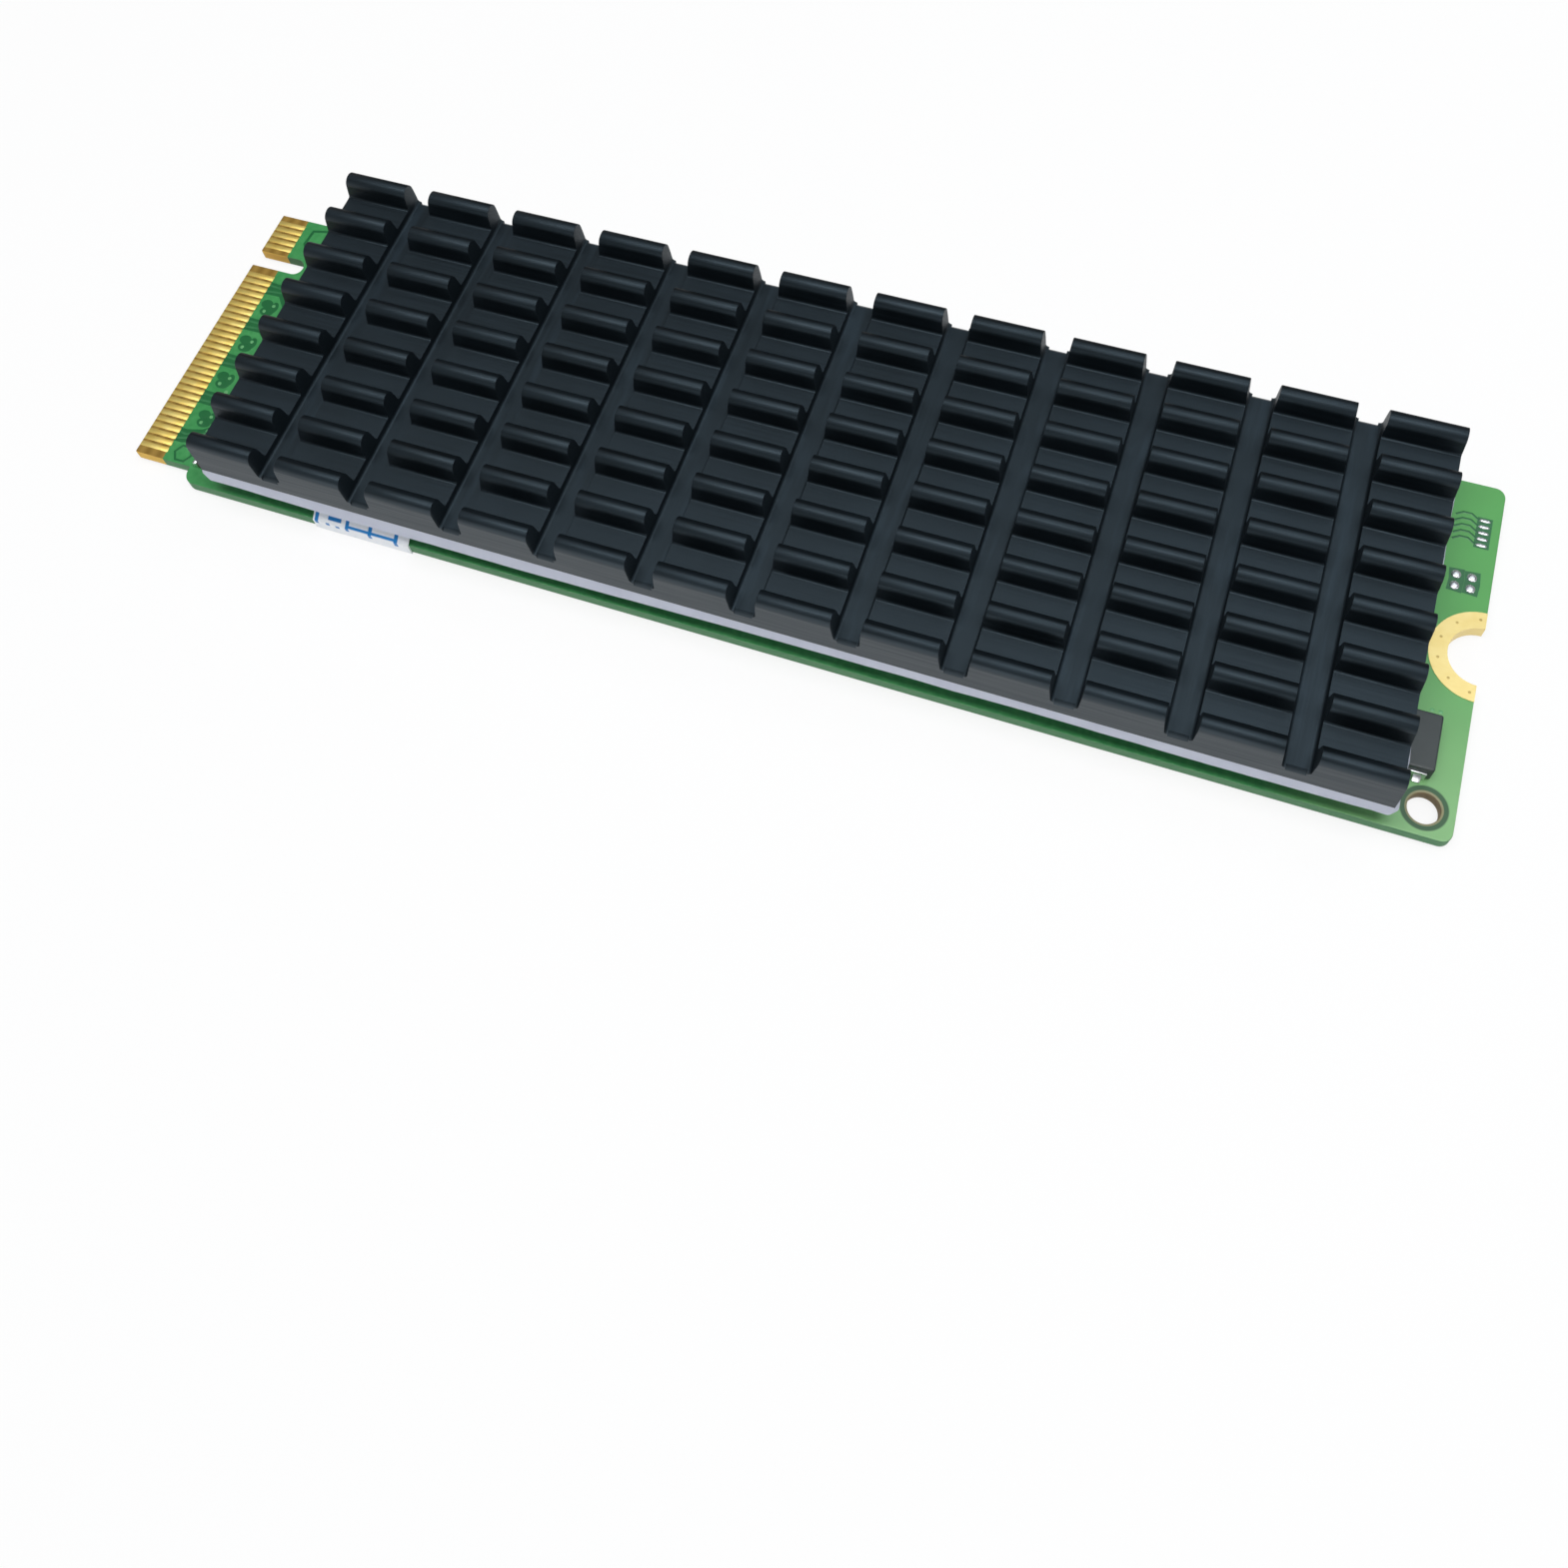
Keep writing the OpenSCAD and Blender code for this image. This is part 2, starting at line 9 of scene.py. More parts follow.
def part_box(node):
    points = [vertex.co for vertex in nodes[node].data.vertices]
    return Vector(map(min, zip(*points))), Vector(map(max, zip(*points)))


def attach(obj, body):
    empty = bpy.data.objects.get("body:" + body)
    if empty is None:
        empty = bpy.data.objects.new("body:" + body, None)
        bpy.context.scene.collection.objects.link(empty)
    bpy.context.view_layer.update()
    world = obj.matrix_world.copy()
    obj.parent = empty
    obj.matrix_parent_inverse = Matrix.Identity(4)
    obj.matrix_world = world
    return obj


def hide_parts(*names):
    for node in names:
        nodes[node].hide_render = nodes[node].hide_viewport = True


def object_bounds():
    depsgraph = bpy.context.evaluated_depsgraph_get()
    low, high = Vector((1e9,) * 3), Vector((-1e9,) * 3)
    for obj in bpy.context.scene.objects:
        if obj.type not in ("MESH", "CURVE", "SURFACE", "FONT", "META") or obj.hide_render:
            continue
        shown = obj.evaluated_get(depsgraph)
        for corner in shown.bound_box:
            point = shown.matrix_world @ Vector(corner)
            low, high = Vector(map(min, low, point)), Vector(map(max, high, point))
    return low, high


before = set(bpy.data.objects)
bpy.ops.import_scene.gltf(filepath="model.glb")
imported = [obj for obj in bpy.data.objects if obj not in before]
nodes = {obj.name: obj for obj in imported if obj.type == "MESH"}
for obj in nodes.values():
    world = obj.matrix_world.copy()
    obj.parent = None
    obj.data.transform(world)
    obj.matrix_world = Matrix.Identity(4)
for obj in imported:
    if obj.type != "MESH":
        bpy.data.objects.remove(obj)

mm = 0.001
cadBox = [list(corner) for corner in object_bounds()]
random.seed(7)


# Colour, selection and modifier helpers

def toLinear(hexCode):
    # sRGB hex to the linear values that shader sockets take
    parts = [int(hexCode[i:i + 2], 16) / 255 for i in (1, 3, 5)]
    return [p / 12.92 if p <= 0.04045 else ((p + 0.055) / 1.055) ** 2.4 for p in parts] + [1.0]


def perMm(size):
    # texture scale for a pattern whose features measure size millimetres
    return 1 / (size * mm)


def addNode(tree, kind, inputs=None, **settings):
    # one shader node: inputs are values or output sockets, settings are the node's own choices
    node = tree.nodes.new("ShaderNode" + kind)
    for name, value in settings.items():
        setattr(node, name, value)
    for name, value in (inputs or {}).items():
        if isinstance(value, bpy.types.NodeSocket):
            tree.links.new(value, node.inputs[name])
        else:
            node.inputs[name].default_value = value
    return node


def startMaterial(name):
    material = bpy.data.materials.new(name)
    material.use_nodes = True
    tree = material.node_tree
    return material, tree, tree.nodes["Principled BSDF"]


def deselectAll():
    for item in bpy.context.selected_objects:
        item.select_set(False)


def makeActive(piece):
    deselectAll()
    piece.select_set(True)
    bpy.context.view_layer.objects.active = piece


def applyModifier(piece, kind, **settings):
    makeActive(piece)
    modifier = piece.modifiers.new(kind.lower(), kind)
    for name, value in settings.items():
        setattr(modifier, name, value)
    bpy.ops.object.modifier_apply(modifier=modifier.name)


def smoothShade(piece, angle=35):
    makeActive(piece)
    bpy.ops.object.shade_smooth_by_angle(angle=math.radians(angle))


def selectFaces(piece, test):
    # in edit mode: selects the faces whose middle and normal pass the test
    bpy.ops.mesh.select_mode(type="FACE")
    bpy.ops.mesh.select_all(action="DESELECT")
    mesh = bmesh.from_edit_mesh(piece.data)
    for face in mesh.faces:
        face.select_set(bool(test(face.calc_center_median(), face.normal)))
    bmesh.update_edit_mesh(piece.data)


def selectEdges(piece, test):
    # in edit mode: selects the edges whose two ends pass the test
    bpy.ops.mesh.select_mode(type="EDGE")
    bpy.ops.mesh.select_all(action="DESELECT")
    mesh = bmesh.from_edit_mesh(piece.data)
    for edge in mesh.edges:
        edge.select_set(bool(test(edge.verts[0].co, edge.verts[1].co)))
    bmesh.update_edit_mesh(piece.data)


def addBox(name, low, high):
    low, high = Vector(low), Vector(high)
    deselectAll()
    bpy.ops.mesh.primitive_cube_add(size=1, location=(low + high) / 2, scale=high - low)
    piece = bpy.context.active_object
    piece.name = name
    bpy.ops.object.transform_apply(location=True, rotation=True, scale=True)
    return piece


def mergedCopy(nodeName, name, flatFaces=True):
    # the CAD node's loose triangles joined up in a new object, as clean flat faces where it is bevelled
    piece = bpy.data.objects.new(name, nodes[nodeName].data.copy())
    bpy.context.scene.collection.objects.link(piece)
    makeActive(piece)
    bpy.ops.object.mode_set(mode="EDIT")
    bpy.ops.mesh.select_all(action="SELECT")
    bpy.ops.mesh.remove_doubles(threshold=0.0005 * mm)
    if flatFaces:
        bpy.ops.mesh.dissolve_limited(angle_limit=math.radians(0.5))
    bpy.ops.mesh.customdata_custom_splitnormals_clear()
    bpy.ops.object.mode_set(mode="OBJECT")
    return piece


def softenEdges(piece, width, steps=2, angle=40):
    applyModifier(piece, "BEVEL", width=width * mm, segments=steps, limit_method="ANGLE",
                  angle_limit=math.radians(angle), use_clamp_overlap=True)
    smoothShade(piece, angle)
    applyModifier(piece, "WEIGHTED_NORMAL", keep_sharp=True)


def dress(piece, material, slotName, *replaced):
    piece.data.materials.clear()
    piece.data.materials.append(material)
    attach(piece, "root")
    if replaced:
        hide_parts(*replaced)
    return piece


def moulded(source, matrix):
    # a copy of a modelled shape with its own mesh, put in place by its mesh
    copy = bpy.data.objects.new(source.name, source.data.copy())
    bpy.context.scene.collection.objects.link(copy)
    copy.data.transform(matrix)
    return copy


def joined(pieces, name):
    deselectAll()
    for piece in pieces:
        piece.select_set(True)
    bpy.context.view_layer.objects.active = pieces[0]
    if len(pieces) > 1:
        bpy.ops.object.join()
    pieces[0].name = name
    return pieces[0]


def discard(piece):
    bpy.data.objects.remove(piece)


# Camera, at the photograph's viewing angle

camera = {
    "lens": 38.49,
    "sensor": 36,
    "shiftX": 0.0054,
    "shiftY": -0.196,
    "place": (23.43, -47.11, 86.34),
    "look": (-0.2394, 0.4672, -0.8511),
    "right": (0.9397, 0.3322, -0.0820),
}


def addCamera():
    look = Vector(camera["look"]).normalized()
    right = Vector(camera["right"])
    right = (right - look * right.dot(look)).normalized()
    up = right.cross(look)
    lensData = bpy.data.cameras.new("photoCamera")
    lensData.lens = camera["lens"]
    lensData.sensor_width = camera["sensor"]
    lensData.shift_x = camera["shiftX"]
    lensData.shift_y = camera["shiftY"]
    lensData.clip_start = 1 * mm
    holder = bpy.data.objects.new("photoCamera", lensData)
    bpy.context.scene.collection.objects.link(holder)
    turn = Matrix((right, up, -look)).transposed().to_4x4()
    holder.matrix_world = Matrix.Translation(Vector(camera["place"]) * mm) @ turn
    bpy.context.scene.camera = holder


addCamera()
print("camera placed")


# Materials

def blackAnodisedAluminium():
    # extruded aluminium, etched and dyed black: satin, nearly black, with faint draw lines along X
    # and finer cutter lines along Y on the floors of the cross cuts
    material, tree, shader = startMaterial("blackAnodisedAluminium")
    place = addNode(tree, "TexCoord").outputs["Object"]
    normal = addNode(tree, "NewGeometry").outputs["Normal"]
    axes = addNode(tree, "SeparateXYZ", {"Vector": place}).outputs
    height = axes["Z"]
    faces = addNode(tree, "SeparateXYZ", {"Vector": normal}).outputs
    belowGrooves = addNode(tree, "Math", {0: height, 1: 4.6 * mm}, operation="LESS_THAN").outputs[0]
    facesUp = addNode(tree, "Math", {0: faces["Z"], 1: 0.7}, operation="GREATER_THAN").outputs[0]
    milled = addNode(tree, "Math", {0: belowGrooves, 1: facesUp}, operation="MULTIPLY").outputs[0]
    drawn = addNode(tree, "Mapping", {"Vector": place, "Scale": (0.012, 1, 1)}).outputs[0]
    drawLines = addNode(tree, "TexNoise", {"Vector": drawn, "Scale": perMm(0.09), "Detail": 3.0}).outputs[0]
    cut = addNode(tree, "Mapping", {"Vector": place, "Scale": (1, 0.01, 1)}).outputs[0]
    cutLines = addNode(tree, "TexNoise", {"Vector": cut, "Scale": perMm(0.12), "Detail": 4.0}).outputs[0]
    lines = addNode(tree, "Mix", {0: milled, 2: drawLines, 3: cutLines}).outputs[0]
    grain = addNode(tree, "TexNoise", {"Vector": place, "Scale": perMm(0.06), "Detail": 2.0}).outputs[0]
    cloud = addNode(tree, "TexNoise", {"Vector": place, "Scale": perMm(3.5), "Detail": 3.0}).outputs[0]
    tone = addNode(tree, "Math", {0: lines, 1: cloud}, operation="ADD").outputs[0]
    spread = addNode(tree, "MapRange", {0: tone, 1: 0.75, 2: 1.25}).outputs[0]
    dye = addNode(tree, "Mix", {0: spread, 6: toLinear("#0a0f12"), 7: toLinear("#131a1f")}, data_type="RGBA")
    smear = addNode(tree, "Mapping", {"Vector": place, "Scale": (1, 0.12, 1)}).outputs[0]
    smears = addNode(tree, "TexNoise", {"Vector": smear, "Scale": perMm(0.7), "Detail": 5.0}).outputs[0]
    rubbed = addNode(tree, "MapRange", {0: smears, 1: 0.5, 2: 0.68}).outputs[0]
    worn = addNode(tree, "Math", {0: rubbed, 1: milled}, operation="MULTIPLY").outputs[0]
    scuffed = addNode(tree, "Mix", {0: worn, 6: dye.outputs[2], 7: toLinear("#1b242b")}, data_type="RGBA")
    # painted reflection: the long outer sides are painted greyer, standing for the pale floor they mirror
    aside = addNode(tree, "Math", {0: axes["Y"]}, operation="ABSOLUTE").outputs[0]
    outer = addNode(tree, "MapRange", {0: aside, 1: 10.8 * mm, 2: 10.98 * mm}).outputs[0]
    paintedSideReflection = addNode(tree, "Mix", {0: outer, 6: scuffed.outputs[2], 7: toLinear("#2a2e31")}, data_type="RGBA")
    tree.links.new(paintedSideReflection.outputs[2], shader.inputs["Base Color"])
    # painted shade: the tips' slopes that look away from the label's side reflect less, a dark line behind each tip
    farSlope = addNode(tree, "MapRange", {0: faces["Y"], 1: 0.05, 2: 0.3}).outputs[0]
    nearTip = addNode(tree, "MapRange", {0: height, 1: 5.5 * mm, 2: 5.8 * mm}).outputs[0]
    dull = addNode(tree, "Math", {0: farSlope, 1: nearTip}, operation="MULTIPLY").outputs[0]
    tipShadeSpecular = addNode(tree, "MapRange", {0: dull, 3: 0.5, 4: 0.05}).outputs[0]
    tree.links.new(tipShadeSpecular, shader.inputs["Specular IOR Level"])
    rough = addNode(tree, "MapRange", {0: lines, 1: 0.3, 2: 0.7, 3: 0.42, 4: 0.6}).outputs[0]
    tree.links.new(rough, shader.inputs["Roughness"])
    shader.inputs["IOR"].default_value = 1.6
    shader.inputs["Specular Tint"].default_value = toLinear("#b4cee0")
    relief = addNode(tree, "Bump", {"Height": lines, "Strength": 0.5, "Distance": 0.008 * mm}).outputs[0]
    speckle = addNode(tree, "Bump", {"Height": grain, "Strength": 0.25, "Distance": 0.006 * mm,
                                     "Normal": relief}).outputs[0]
    tree.links.new(speckle, shader.inputs["Normal"])
    return material


def siliconeGapPad():
    # filled silicone sheet, cast and knife-cut: soft matt lavender grey with a faint inner glow
    material, tree, shader = startMaterial("siliconeGapPad")
    place = addNode(tree, "TexCoord").outputs["Object"]
    cloud = addNode(tree, "TexNoise", {"Vector": place, "Scale": perMm(2.2), "Detail": 4.0}).outputs[0]
    tone = addNode(tree, "Mix", {0: cloud, 6: toLinear("#b6bbcd"), 7: toLinear("#d0d5e3")}, data_type="RGBA")
    tree.links.new(tone.outputs[2], shader.inputs["Base Color"])
    shader.inputs["Roughness"].default_value = 0.62
    shader.inputs["IOR"].default_value = 1.43
    shader.inputs["Subsurface Weight"].default_value = 0.2
    shader.inputs["Subsurface Radius"].default_value = (1.0, 1.0, 1.2)
    shader.inputs["Subsurface Scale"].default_value = 0.3 * mm
    knife = addNode(tree, "Mapping", {"Vector": place, "Scale": (0.15, 0.15, 1)}).outputs[0]
    drag = addNode(tree, "TexNoise", {"Vector": knife, "Scale": perMm(0.12), "Detail": 3.0}).outputs[0]
    relief = addNode(tree, "Bump", {"Height": drag, "Strength": 0.4, "Distance": 0.02 * mm}).outputs[0]
    tree.links.new(relief, shader.inputs["Normal"])
    return material


def solderMaskBoard():
    # green photo-imaged mask on glass-fibre laminate: glossy faces over weave and copper,
    # bare ochre laminate round the contacts and holes, sawn grey-green edges
    material, tree, shader = startMaterial("solderMaskBoard")
    place = addNode(tree, "TexCoord").outputs["Object"]
    normal = addNode(tree, "NewGeometry").outputs["Normal"]
    axis = addNode(tree, "SeparateXYZ", {"Vector": place}).outputs
    upness = addNode(tree, "SeparateXYZ", {"Vector": normal}).outputs["Z"]
    flat = addNode(tree, "Math", {0: upness}, operation="ABSOLUTE").outputs[0]
    face = addNode(tree, "MapRange", {0: flat, 1: 0.25, 2: 0.8}).outputs[0]
    cloud = addNode(tree, "TexNoise", {"Vector": place, "Scale": perMm(5.0), "Detail": 3.0}).outputs[0]
    fine = addNode(tree, "TexNoise", {"Vector": place, "Scale": perMm(0.35), "Detail": 2.0}).outputs[0]
    blend = addNode(tree, "Math", {0: cloud, 1: fine, 2: 0.0}, operation="ADD").outputs[0]
    spread = addNode(tree, "MapRange", {0: blend, 1: 0.75, 2: 1.25}).outputs[0]
    deep = addNode(tree, "Mix", {0: spread, 6: toLinear("#38904e"), 7: toLinear("#499f5b")}, data_type="RGBA")
    # painted reflection: the mask is painted paler past the pad, and a painted highlight pales it most at the corner
    # with the tooling hole
    farEndSheen = addNode(tree, "MapRange", {0: axis["X"], 1: 30 * mm, 2: 38 * mm}).outputs[0]
    pale = addNode(tree, "Mix", {0: farEndSheen, 6: deep.outputs[2], 7: toLinear("#55a653")}, data_type="RGBA")
    nearHole = addNode(tree, "MapRange", {0: axis["Y"], 1: 1 * mm, 2: -10 * mm, 4: 0.5}).outputs[0]
    cornerHighlight = addNode(tree, "Math", {0: farEndSheen, 1: nearHole}, operation="MULTIPLY").outputs[0]
    mask = addNode(tree, "Mix", {0: cornerHighlight, 6: pale.outputs[2], 7: toLinear("#a6cf98")}, data_type="RGBA")
    below = addNode(tree, "Math", {0: upness, 1: -0.3}, operation="LESS_THAN").outputs[0]
    lower = addNode(tree, "Mix", {0: below, 6: mask.outputs[2], 7: toLinear("#1c7a2c")}, data_type="RGBA")
    # the laminate shows in front of the contacts' inner ends
    bareFront = addNode(tree, "Math", {0: axis["X"], 1: (-40 + 2.0) * mm}, operation="LESS_THAN").outputs[0]
    weaveX = addNode(tree, "TexWave", {"Vector": place, "Scale": perMm(2.6), "Distortion": 1.0}).outputs[1]
    ochre = addNode(tree, "Mix", {0: weaveX, 6: toLinear("#8a6a26"), 7: toLinear("#a6843c")}, data_type="RGBA")
    faces = addNode(tree, "Mix", {0: bareFront, 6: lower.outputs[2], 7: ochre.outputs[2]}, data_type="RGBA")
    # a copper-free dark ring and a bare rim round each tooling hole
    rings = faces.outputs[2]
    bores = None
    for holeX, holeY in ((38.4, -9.45), (-34.4, 9.45)):
        gap = addNode(tree, "VectorMath", {0: place, 1: (holeX * mm, holeY * mm, 0)}, operation="SUBTRACT")
        flatGap = addNode(tree, "VectorMath", {0: gap.outputs[0], 1: (1, 1, 0)}, operation="MULTIPLY")
        away = addNode(tree, "VectorMath", {0: flatGap.outputs[0]}, operation="LENGTH").outputs["Value"]
        dark = addNode(tree, "MapRange", {0: away, 1: 1.28 * mm, 2: 1.2 * mm}).outputs[0]
        rim = addNode(tree, "MapRange", {0: away, 1: 1.0 * mm, 2: 0.96 * mm}).outputs[0]
        bore = addNode(tree, "Math", {0: away, 1: 0.95 * mm}, operation="LESS_THAN").outputs[0]
        bores = bore if bores is None else addNode(tree, "Math", {0: bores, 1: bore}, operation="MAXIMUM").outputs[0]
        ringed = addNode(tree, "Mix", {0: dark, 6: rings, 7: toLinear("#2c5a34")}, data_type="RGBA")
        rings = addNode(tree, "Mix", {0: rim, 6: ringed.outputs[2], 7: toLinear("#8d8a63")},
                        data_type="RGBA").outputs[2]
    # routed edge: resin and glass, in mottled greens streaked along the edge
    ply = addNode(tree, "TexNoise", {"Vector": addNode(tree, "Mapping", {"Vector": place, "Scale": (0.2, 0.2, 1)})
                                     .outputs[0], "Scale": perMm(0.15), "Detail": 3.0}).outputs[0]
    edge = addNode(tree, "Mix", {0: ply, 6: toLinear("#2f7448"), 7: toLinear("#659068")}, data_type="RGBA")
    frontEdge = addNode(tree, "Mix", {0: bareFront, 6: edge.outputs[2], 7: toLinear("#e6ba52")}, data_type="RGBA")
    wall = addNode(tree, "Mix", {0: bores, 6: frontEdge.outputs[2], 7: toLinear("#8f7d5c")}, data_type="RGBA")
    colour = addNode(tree, "Mix", {0: face, 6: wall.outputs[2], 7: rings}, data_type="RGBA")
    tree.links.new(colour.outputs[2], shader.inputs["Base Color"])
    rough = addNode(tree, "MapRange", {0: face, 1: 0.0, 2: 1.0, 3: 0.7, 4: 0.3}).outputs[0]
    tree.links.new(rough, shader.inputs["Roughness"])
    shader.inputs["IOR"].default_value = 1.5
    weave = addNode(tree, "TexNoise", {"Vector": place, "Scale": perMm(0.6), "Detail": 2.0}).outputs[0]
    relief = addNode(tree, "Bump", {"Height": weave, "Strength": 0.3, "Distance": 0.012 * mm}).outputs[0]
    tree.links.new(relief, shader.inputs["Normal"])
    return material


def maskOver(name, low, high, rough=0.28):
    # solder mask over bare laminate or over a copper track: the same gloss in another green
    material, tree, shader = startMaterial(name)
    place = addNode(tree, "TexCoord").outputs["Object"]
    cloud = addNode(tree, "TexNoise", {"Vector": place, "Scale": perMm(0.8), "Detail": 3.0}).outputs[0]
    tone = addNode(tree, "Mix", {0: cloud, 6: toLinear(low), 7: toLinear(high)}, data_type="RGBA")
    tree.links.new(tone.outputs[2], shader.inputs["Base Color"])
    shader.inputs["Roughness"].default_value = rough
    shader.inputs["IOR"].default_value = 1.5
    fine = addNode(tree, "TexNoise", {"Vector": place, "Scale": perMm(0.3), "Detail": 2.0}).outputs[0]
    relief = addNode(tree, "Bump", {"Height": fine, "Strength": 0.25, "Distance": 0.006 * mm}).outputs[0]
    tree.links.new(relief, shader.inputs["Normal"])
    return material


def platedGold(name, deep, pale, rough):
    # gold over nickel: smooth metal, with fine wipe marks along the card from being plugged in
    material, tree, shader = startMaterial(name)
    place = addNode(tree, "TexCoord").outputs["Object"]
    wiped = addNode(tree, "Mapping", {"Vector": place, "Scale": (0.05, 1, 1)}).outputs[0]
    wipe = addNode(tree, "TexNoise", {"Vector": wiped, "Scale": perMm(0.05), "Detail": 3.0}).outputs[0]
    cloud = addNode(tree, "TexNoise", {"Vector": place, "Scale": perMm(0.9), "Detail": 2.0}).outputs[0]
    tone = addNode(tree, "Mix", {0: cloud, 6: toLinear(deep), 7: toLinear(pale)}, data_type="RGBA")
    tree.links.new(tone.outputs[2], shader.inputs["Base Color"])
    shader.inputs["Metallic"].default_value = 1.0
    spread = addNode(tree, "MapRange", {0: wipe, 1: 0.3, 2: 0.7, 3: rough - 0.06, 4: rough + 0.08}).outputs[0]
    tree.links.new(spread, shader.inputs["Roughness"])
    relief = addNode(tree, "Bump", {"Height": wipe, "Strength": 0.2, "Distance": 0.003 * mm}).outputs[0]
    tree.links.new(relief, shader.inputs["Normal"])
    return material


def mouldedEpoxy(name, low, high, rough):
    # transfer-moulded epoxy with silica filler: charcoal, matt, finely pitted by the mould
    material, tree, shader = startMaterial(name)
    place = addNode(tree, "TexCoord").outputs["Object"]
    cloud = addNode(tree, "TexNoise", {"Vector": place, "Scale": perMm(1.5), "Detail": 4.0}).outputs[0]
    tone = addNode(tree, "Mix", {0: cloud, 6: toLinear(low), 7: toLinear(high)}, data_type="RGBA")
    tree.links.new(tone.outputs[2], shader.inputs["Base Color"])
    shader.inputs["Roughness"].default_value = rough
    shader.inputs["IOR"].default_value = 1.55
    pits = addNode(tree, "TexNoise", {"Vector": place, "Scale": perMm(0.07), "Detail": 2.0}).outputs[0]
    relief = addNode(tree, "Bump", {"Height": pits, "Strength": 0.4, "Distance": 0.008 * mm}).outputs[0]
    tree.links.new(relief, shader.inputs["Normal"])
    return material


def reflowedTin():
    # tin and solder after reflow: bright, a little wavy and frosted in places
    material, tree, shader = startMaterial("reflowedTin")
    place = addNode(tree, "TexCoord").outputs["Object"]
    cloud = addNode(tree, "TexNoise", {"Vector": place, "Scale": perMm(0.4), "Detail": 3.0}).outputs[0]
    tone = addNode(tree, "Mix", {0: cloud, 6: toLinear("#c9ccd2"), 7: toLinear("#eff0f2")}, data_type="RGBA")
    tree.links.new(tone.outputs[2], shader.inputs["Base Color"])
    shader.inputs["Metallic"].default_value = 1.0
    rough = addNode(tree, "MapRange", {0: cloud, 1: 0.3, 2: 0.7, 3: 0.2, 4: 0.38}).outputs[0]
    tree.links.new(rough, shader.inputs["Roughness"])
    wave = addNode(tree, "TexNoise", {"Vector": place, "Scale": perMm(0.12), "Detail": 2.0}).outputs[0]
    relief = addNode(tree, "Bump", {"Height": wave, "Strength": 0.3, "Distance": 0.01 * mm}).outputs[0]
    tree.links.new(relief, shader.inputs["Normal"])
    return material


def firedCeramic(name, low, high):
    # sintered dielectric of the chip capacitors: smooth brown with a soft shine
    material, tree, shader = startMaterial(name)
    place = addNode(tree, "TexCoord").outputs["Object"]
    cloud = addNode(tree, "TexNoise", {"Vector": place, "Scale": perMm(0.3), "Detail": 3.0}).outputs[0]
    tone = addNode(tree, "Mix", {0: cloud, 6: toLinear(low), 7: toLinear(high)}, data_type="RGBA")
    tree.links.new(tone.outputs[2], shader.inputs["Base Color"])
    shader.inputs["Roughness"].default_value = 0.38
    relief = addNode(tree, "Bump", {"Height": cloud, "Strength": 0.2, "Distance": 0.005 * mm}).outputs[0]
    tree.links.new(relief, shader.inputs["Normal"])
    return material


def printedLabelPaper(low, high):
    # coated label paper, satin white, with fields of blue ink on the fold and under the card
    material, tree, shader = startMaterial("printedLabelPaper")
    place = addNode(tree, "TexCoord").outputs["Object"]
    axis = addNode(tree, "SeparateXYZ", {"Vector": place}).outputs
    fibre = addNode(tree, "TexNoise", {"Vector": place, "Scale": perMm(0.25), "Detail": 4.0}).outputs[0]
    paper = addNode(tree, "Mix", {0: fibre, 6: toLinear("#edf4fc"), 7: toLinear("#fdfeff")}, data_type="RGBA")
    ink = None
    # each field is [x from, x to, z from, z to] in millimetres, from the label's own corner
    fields = ((0.12, 0.36, 0.68, 1.3), (1.0, 1.9, 1.1, 1.26), (0.88, 1.14, 0.74, 0.97), (1.53, 1.8, 0.7, 0.93),
              (2.2, 5.76, 0.98, 1.09), (2.2, 2.44, 0.66, 1.3), (3.75, 4.0, 0.6, 1.3), (5.5, 5.76, 0.55, 1.3))
    for xFrom, xTo, zFrom, zTo in fields:
        edges = []
        for side, start, end in (("X", low[0] / mm + xFrom, low[0] / mm + xTo),
                                 ("Z", low[2] / mm + zFrom, low[2] / mm + zTo)):
            middle = addNode(tree, "Math", {0: axis[side], 1: (start + end) / 2 * mm}, operation="SUBTRACT")
            away = addNode(tree, "Math", {0: middle.outputs[0]}, operation="ABSOLUTE").outputs[0]
            half = (end - start) / 2 * mm
            edges.append(addNode(tree, "MapRange", {0: away, 1: half + 0.02 * mm, 2: half - 0.02 * mm}).outputs[0])
        field = addNode(tree, "Math", {0: edges[0], 1: edges[1]}, operation="MULTIPLY").outputs[0]
        ink = field if ink is None else addNode(tree, "Math", {0: ink, 1: field}, operation="MAXIMUM").outputs[0]
    # under the card: soft blue bands across the flap
    bands = addNode(tree, "Math", {0: axis["Y"], 1: 2 * math.pi * perMm(1.7)}, operation="MULTIPLY").outputs[0]
    wave = addNode(tree, "Math", {0: bands}, operation="SINE").outputs[0]
    band = addNode(tree, "MapRange", {0: wave, 1: 0.55, 2: 0.75}).outputs[0]
    under = addNode(tree, "MapRange", {0: axis["Z"], 1: -0.04 * mm, 2: -0.06 * mm, 4: 0.55}).outputs[0]
    bandInk = addNode(tree, "Math", {0: band, 1: under}, operation="MULTIPLY").outputs[0]
    total = addNode(tree, "Math", {0: ink, 1: bandInk}, operation="MAXIMUM").outputs[0]
    colour = addNode(tree, "Mix", {0: total, 6: paper.outputs[2], 7: toLinear("#147ec6")}, data_type="RGBA")
    tree.links.new(colour.outputs[2], shader.inputs["Base Color"])
    shader.inputs["Roughness"].default_value = 0.42
    relief = addNode(tree, "Bump", {"Height": fibre, "Strength": 0.25, "Distance": 0.008 * mm}).outputs[0]
    tree.links.new(relief, shader.inputs["Normal"])
    return material


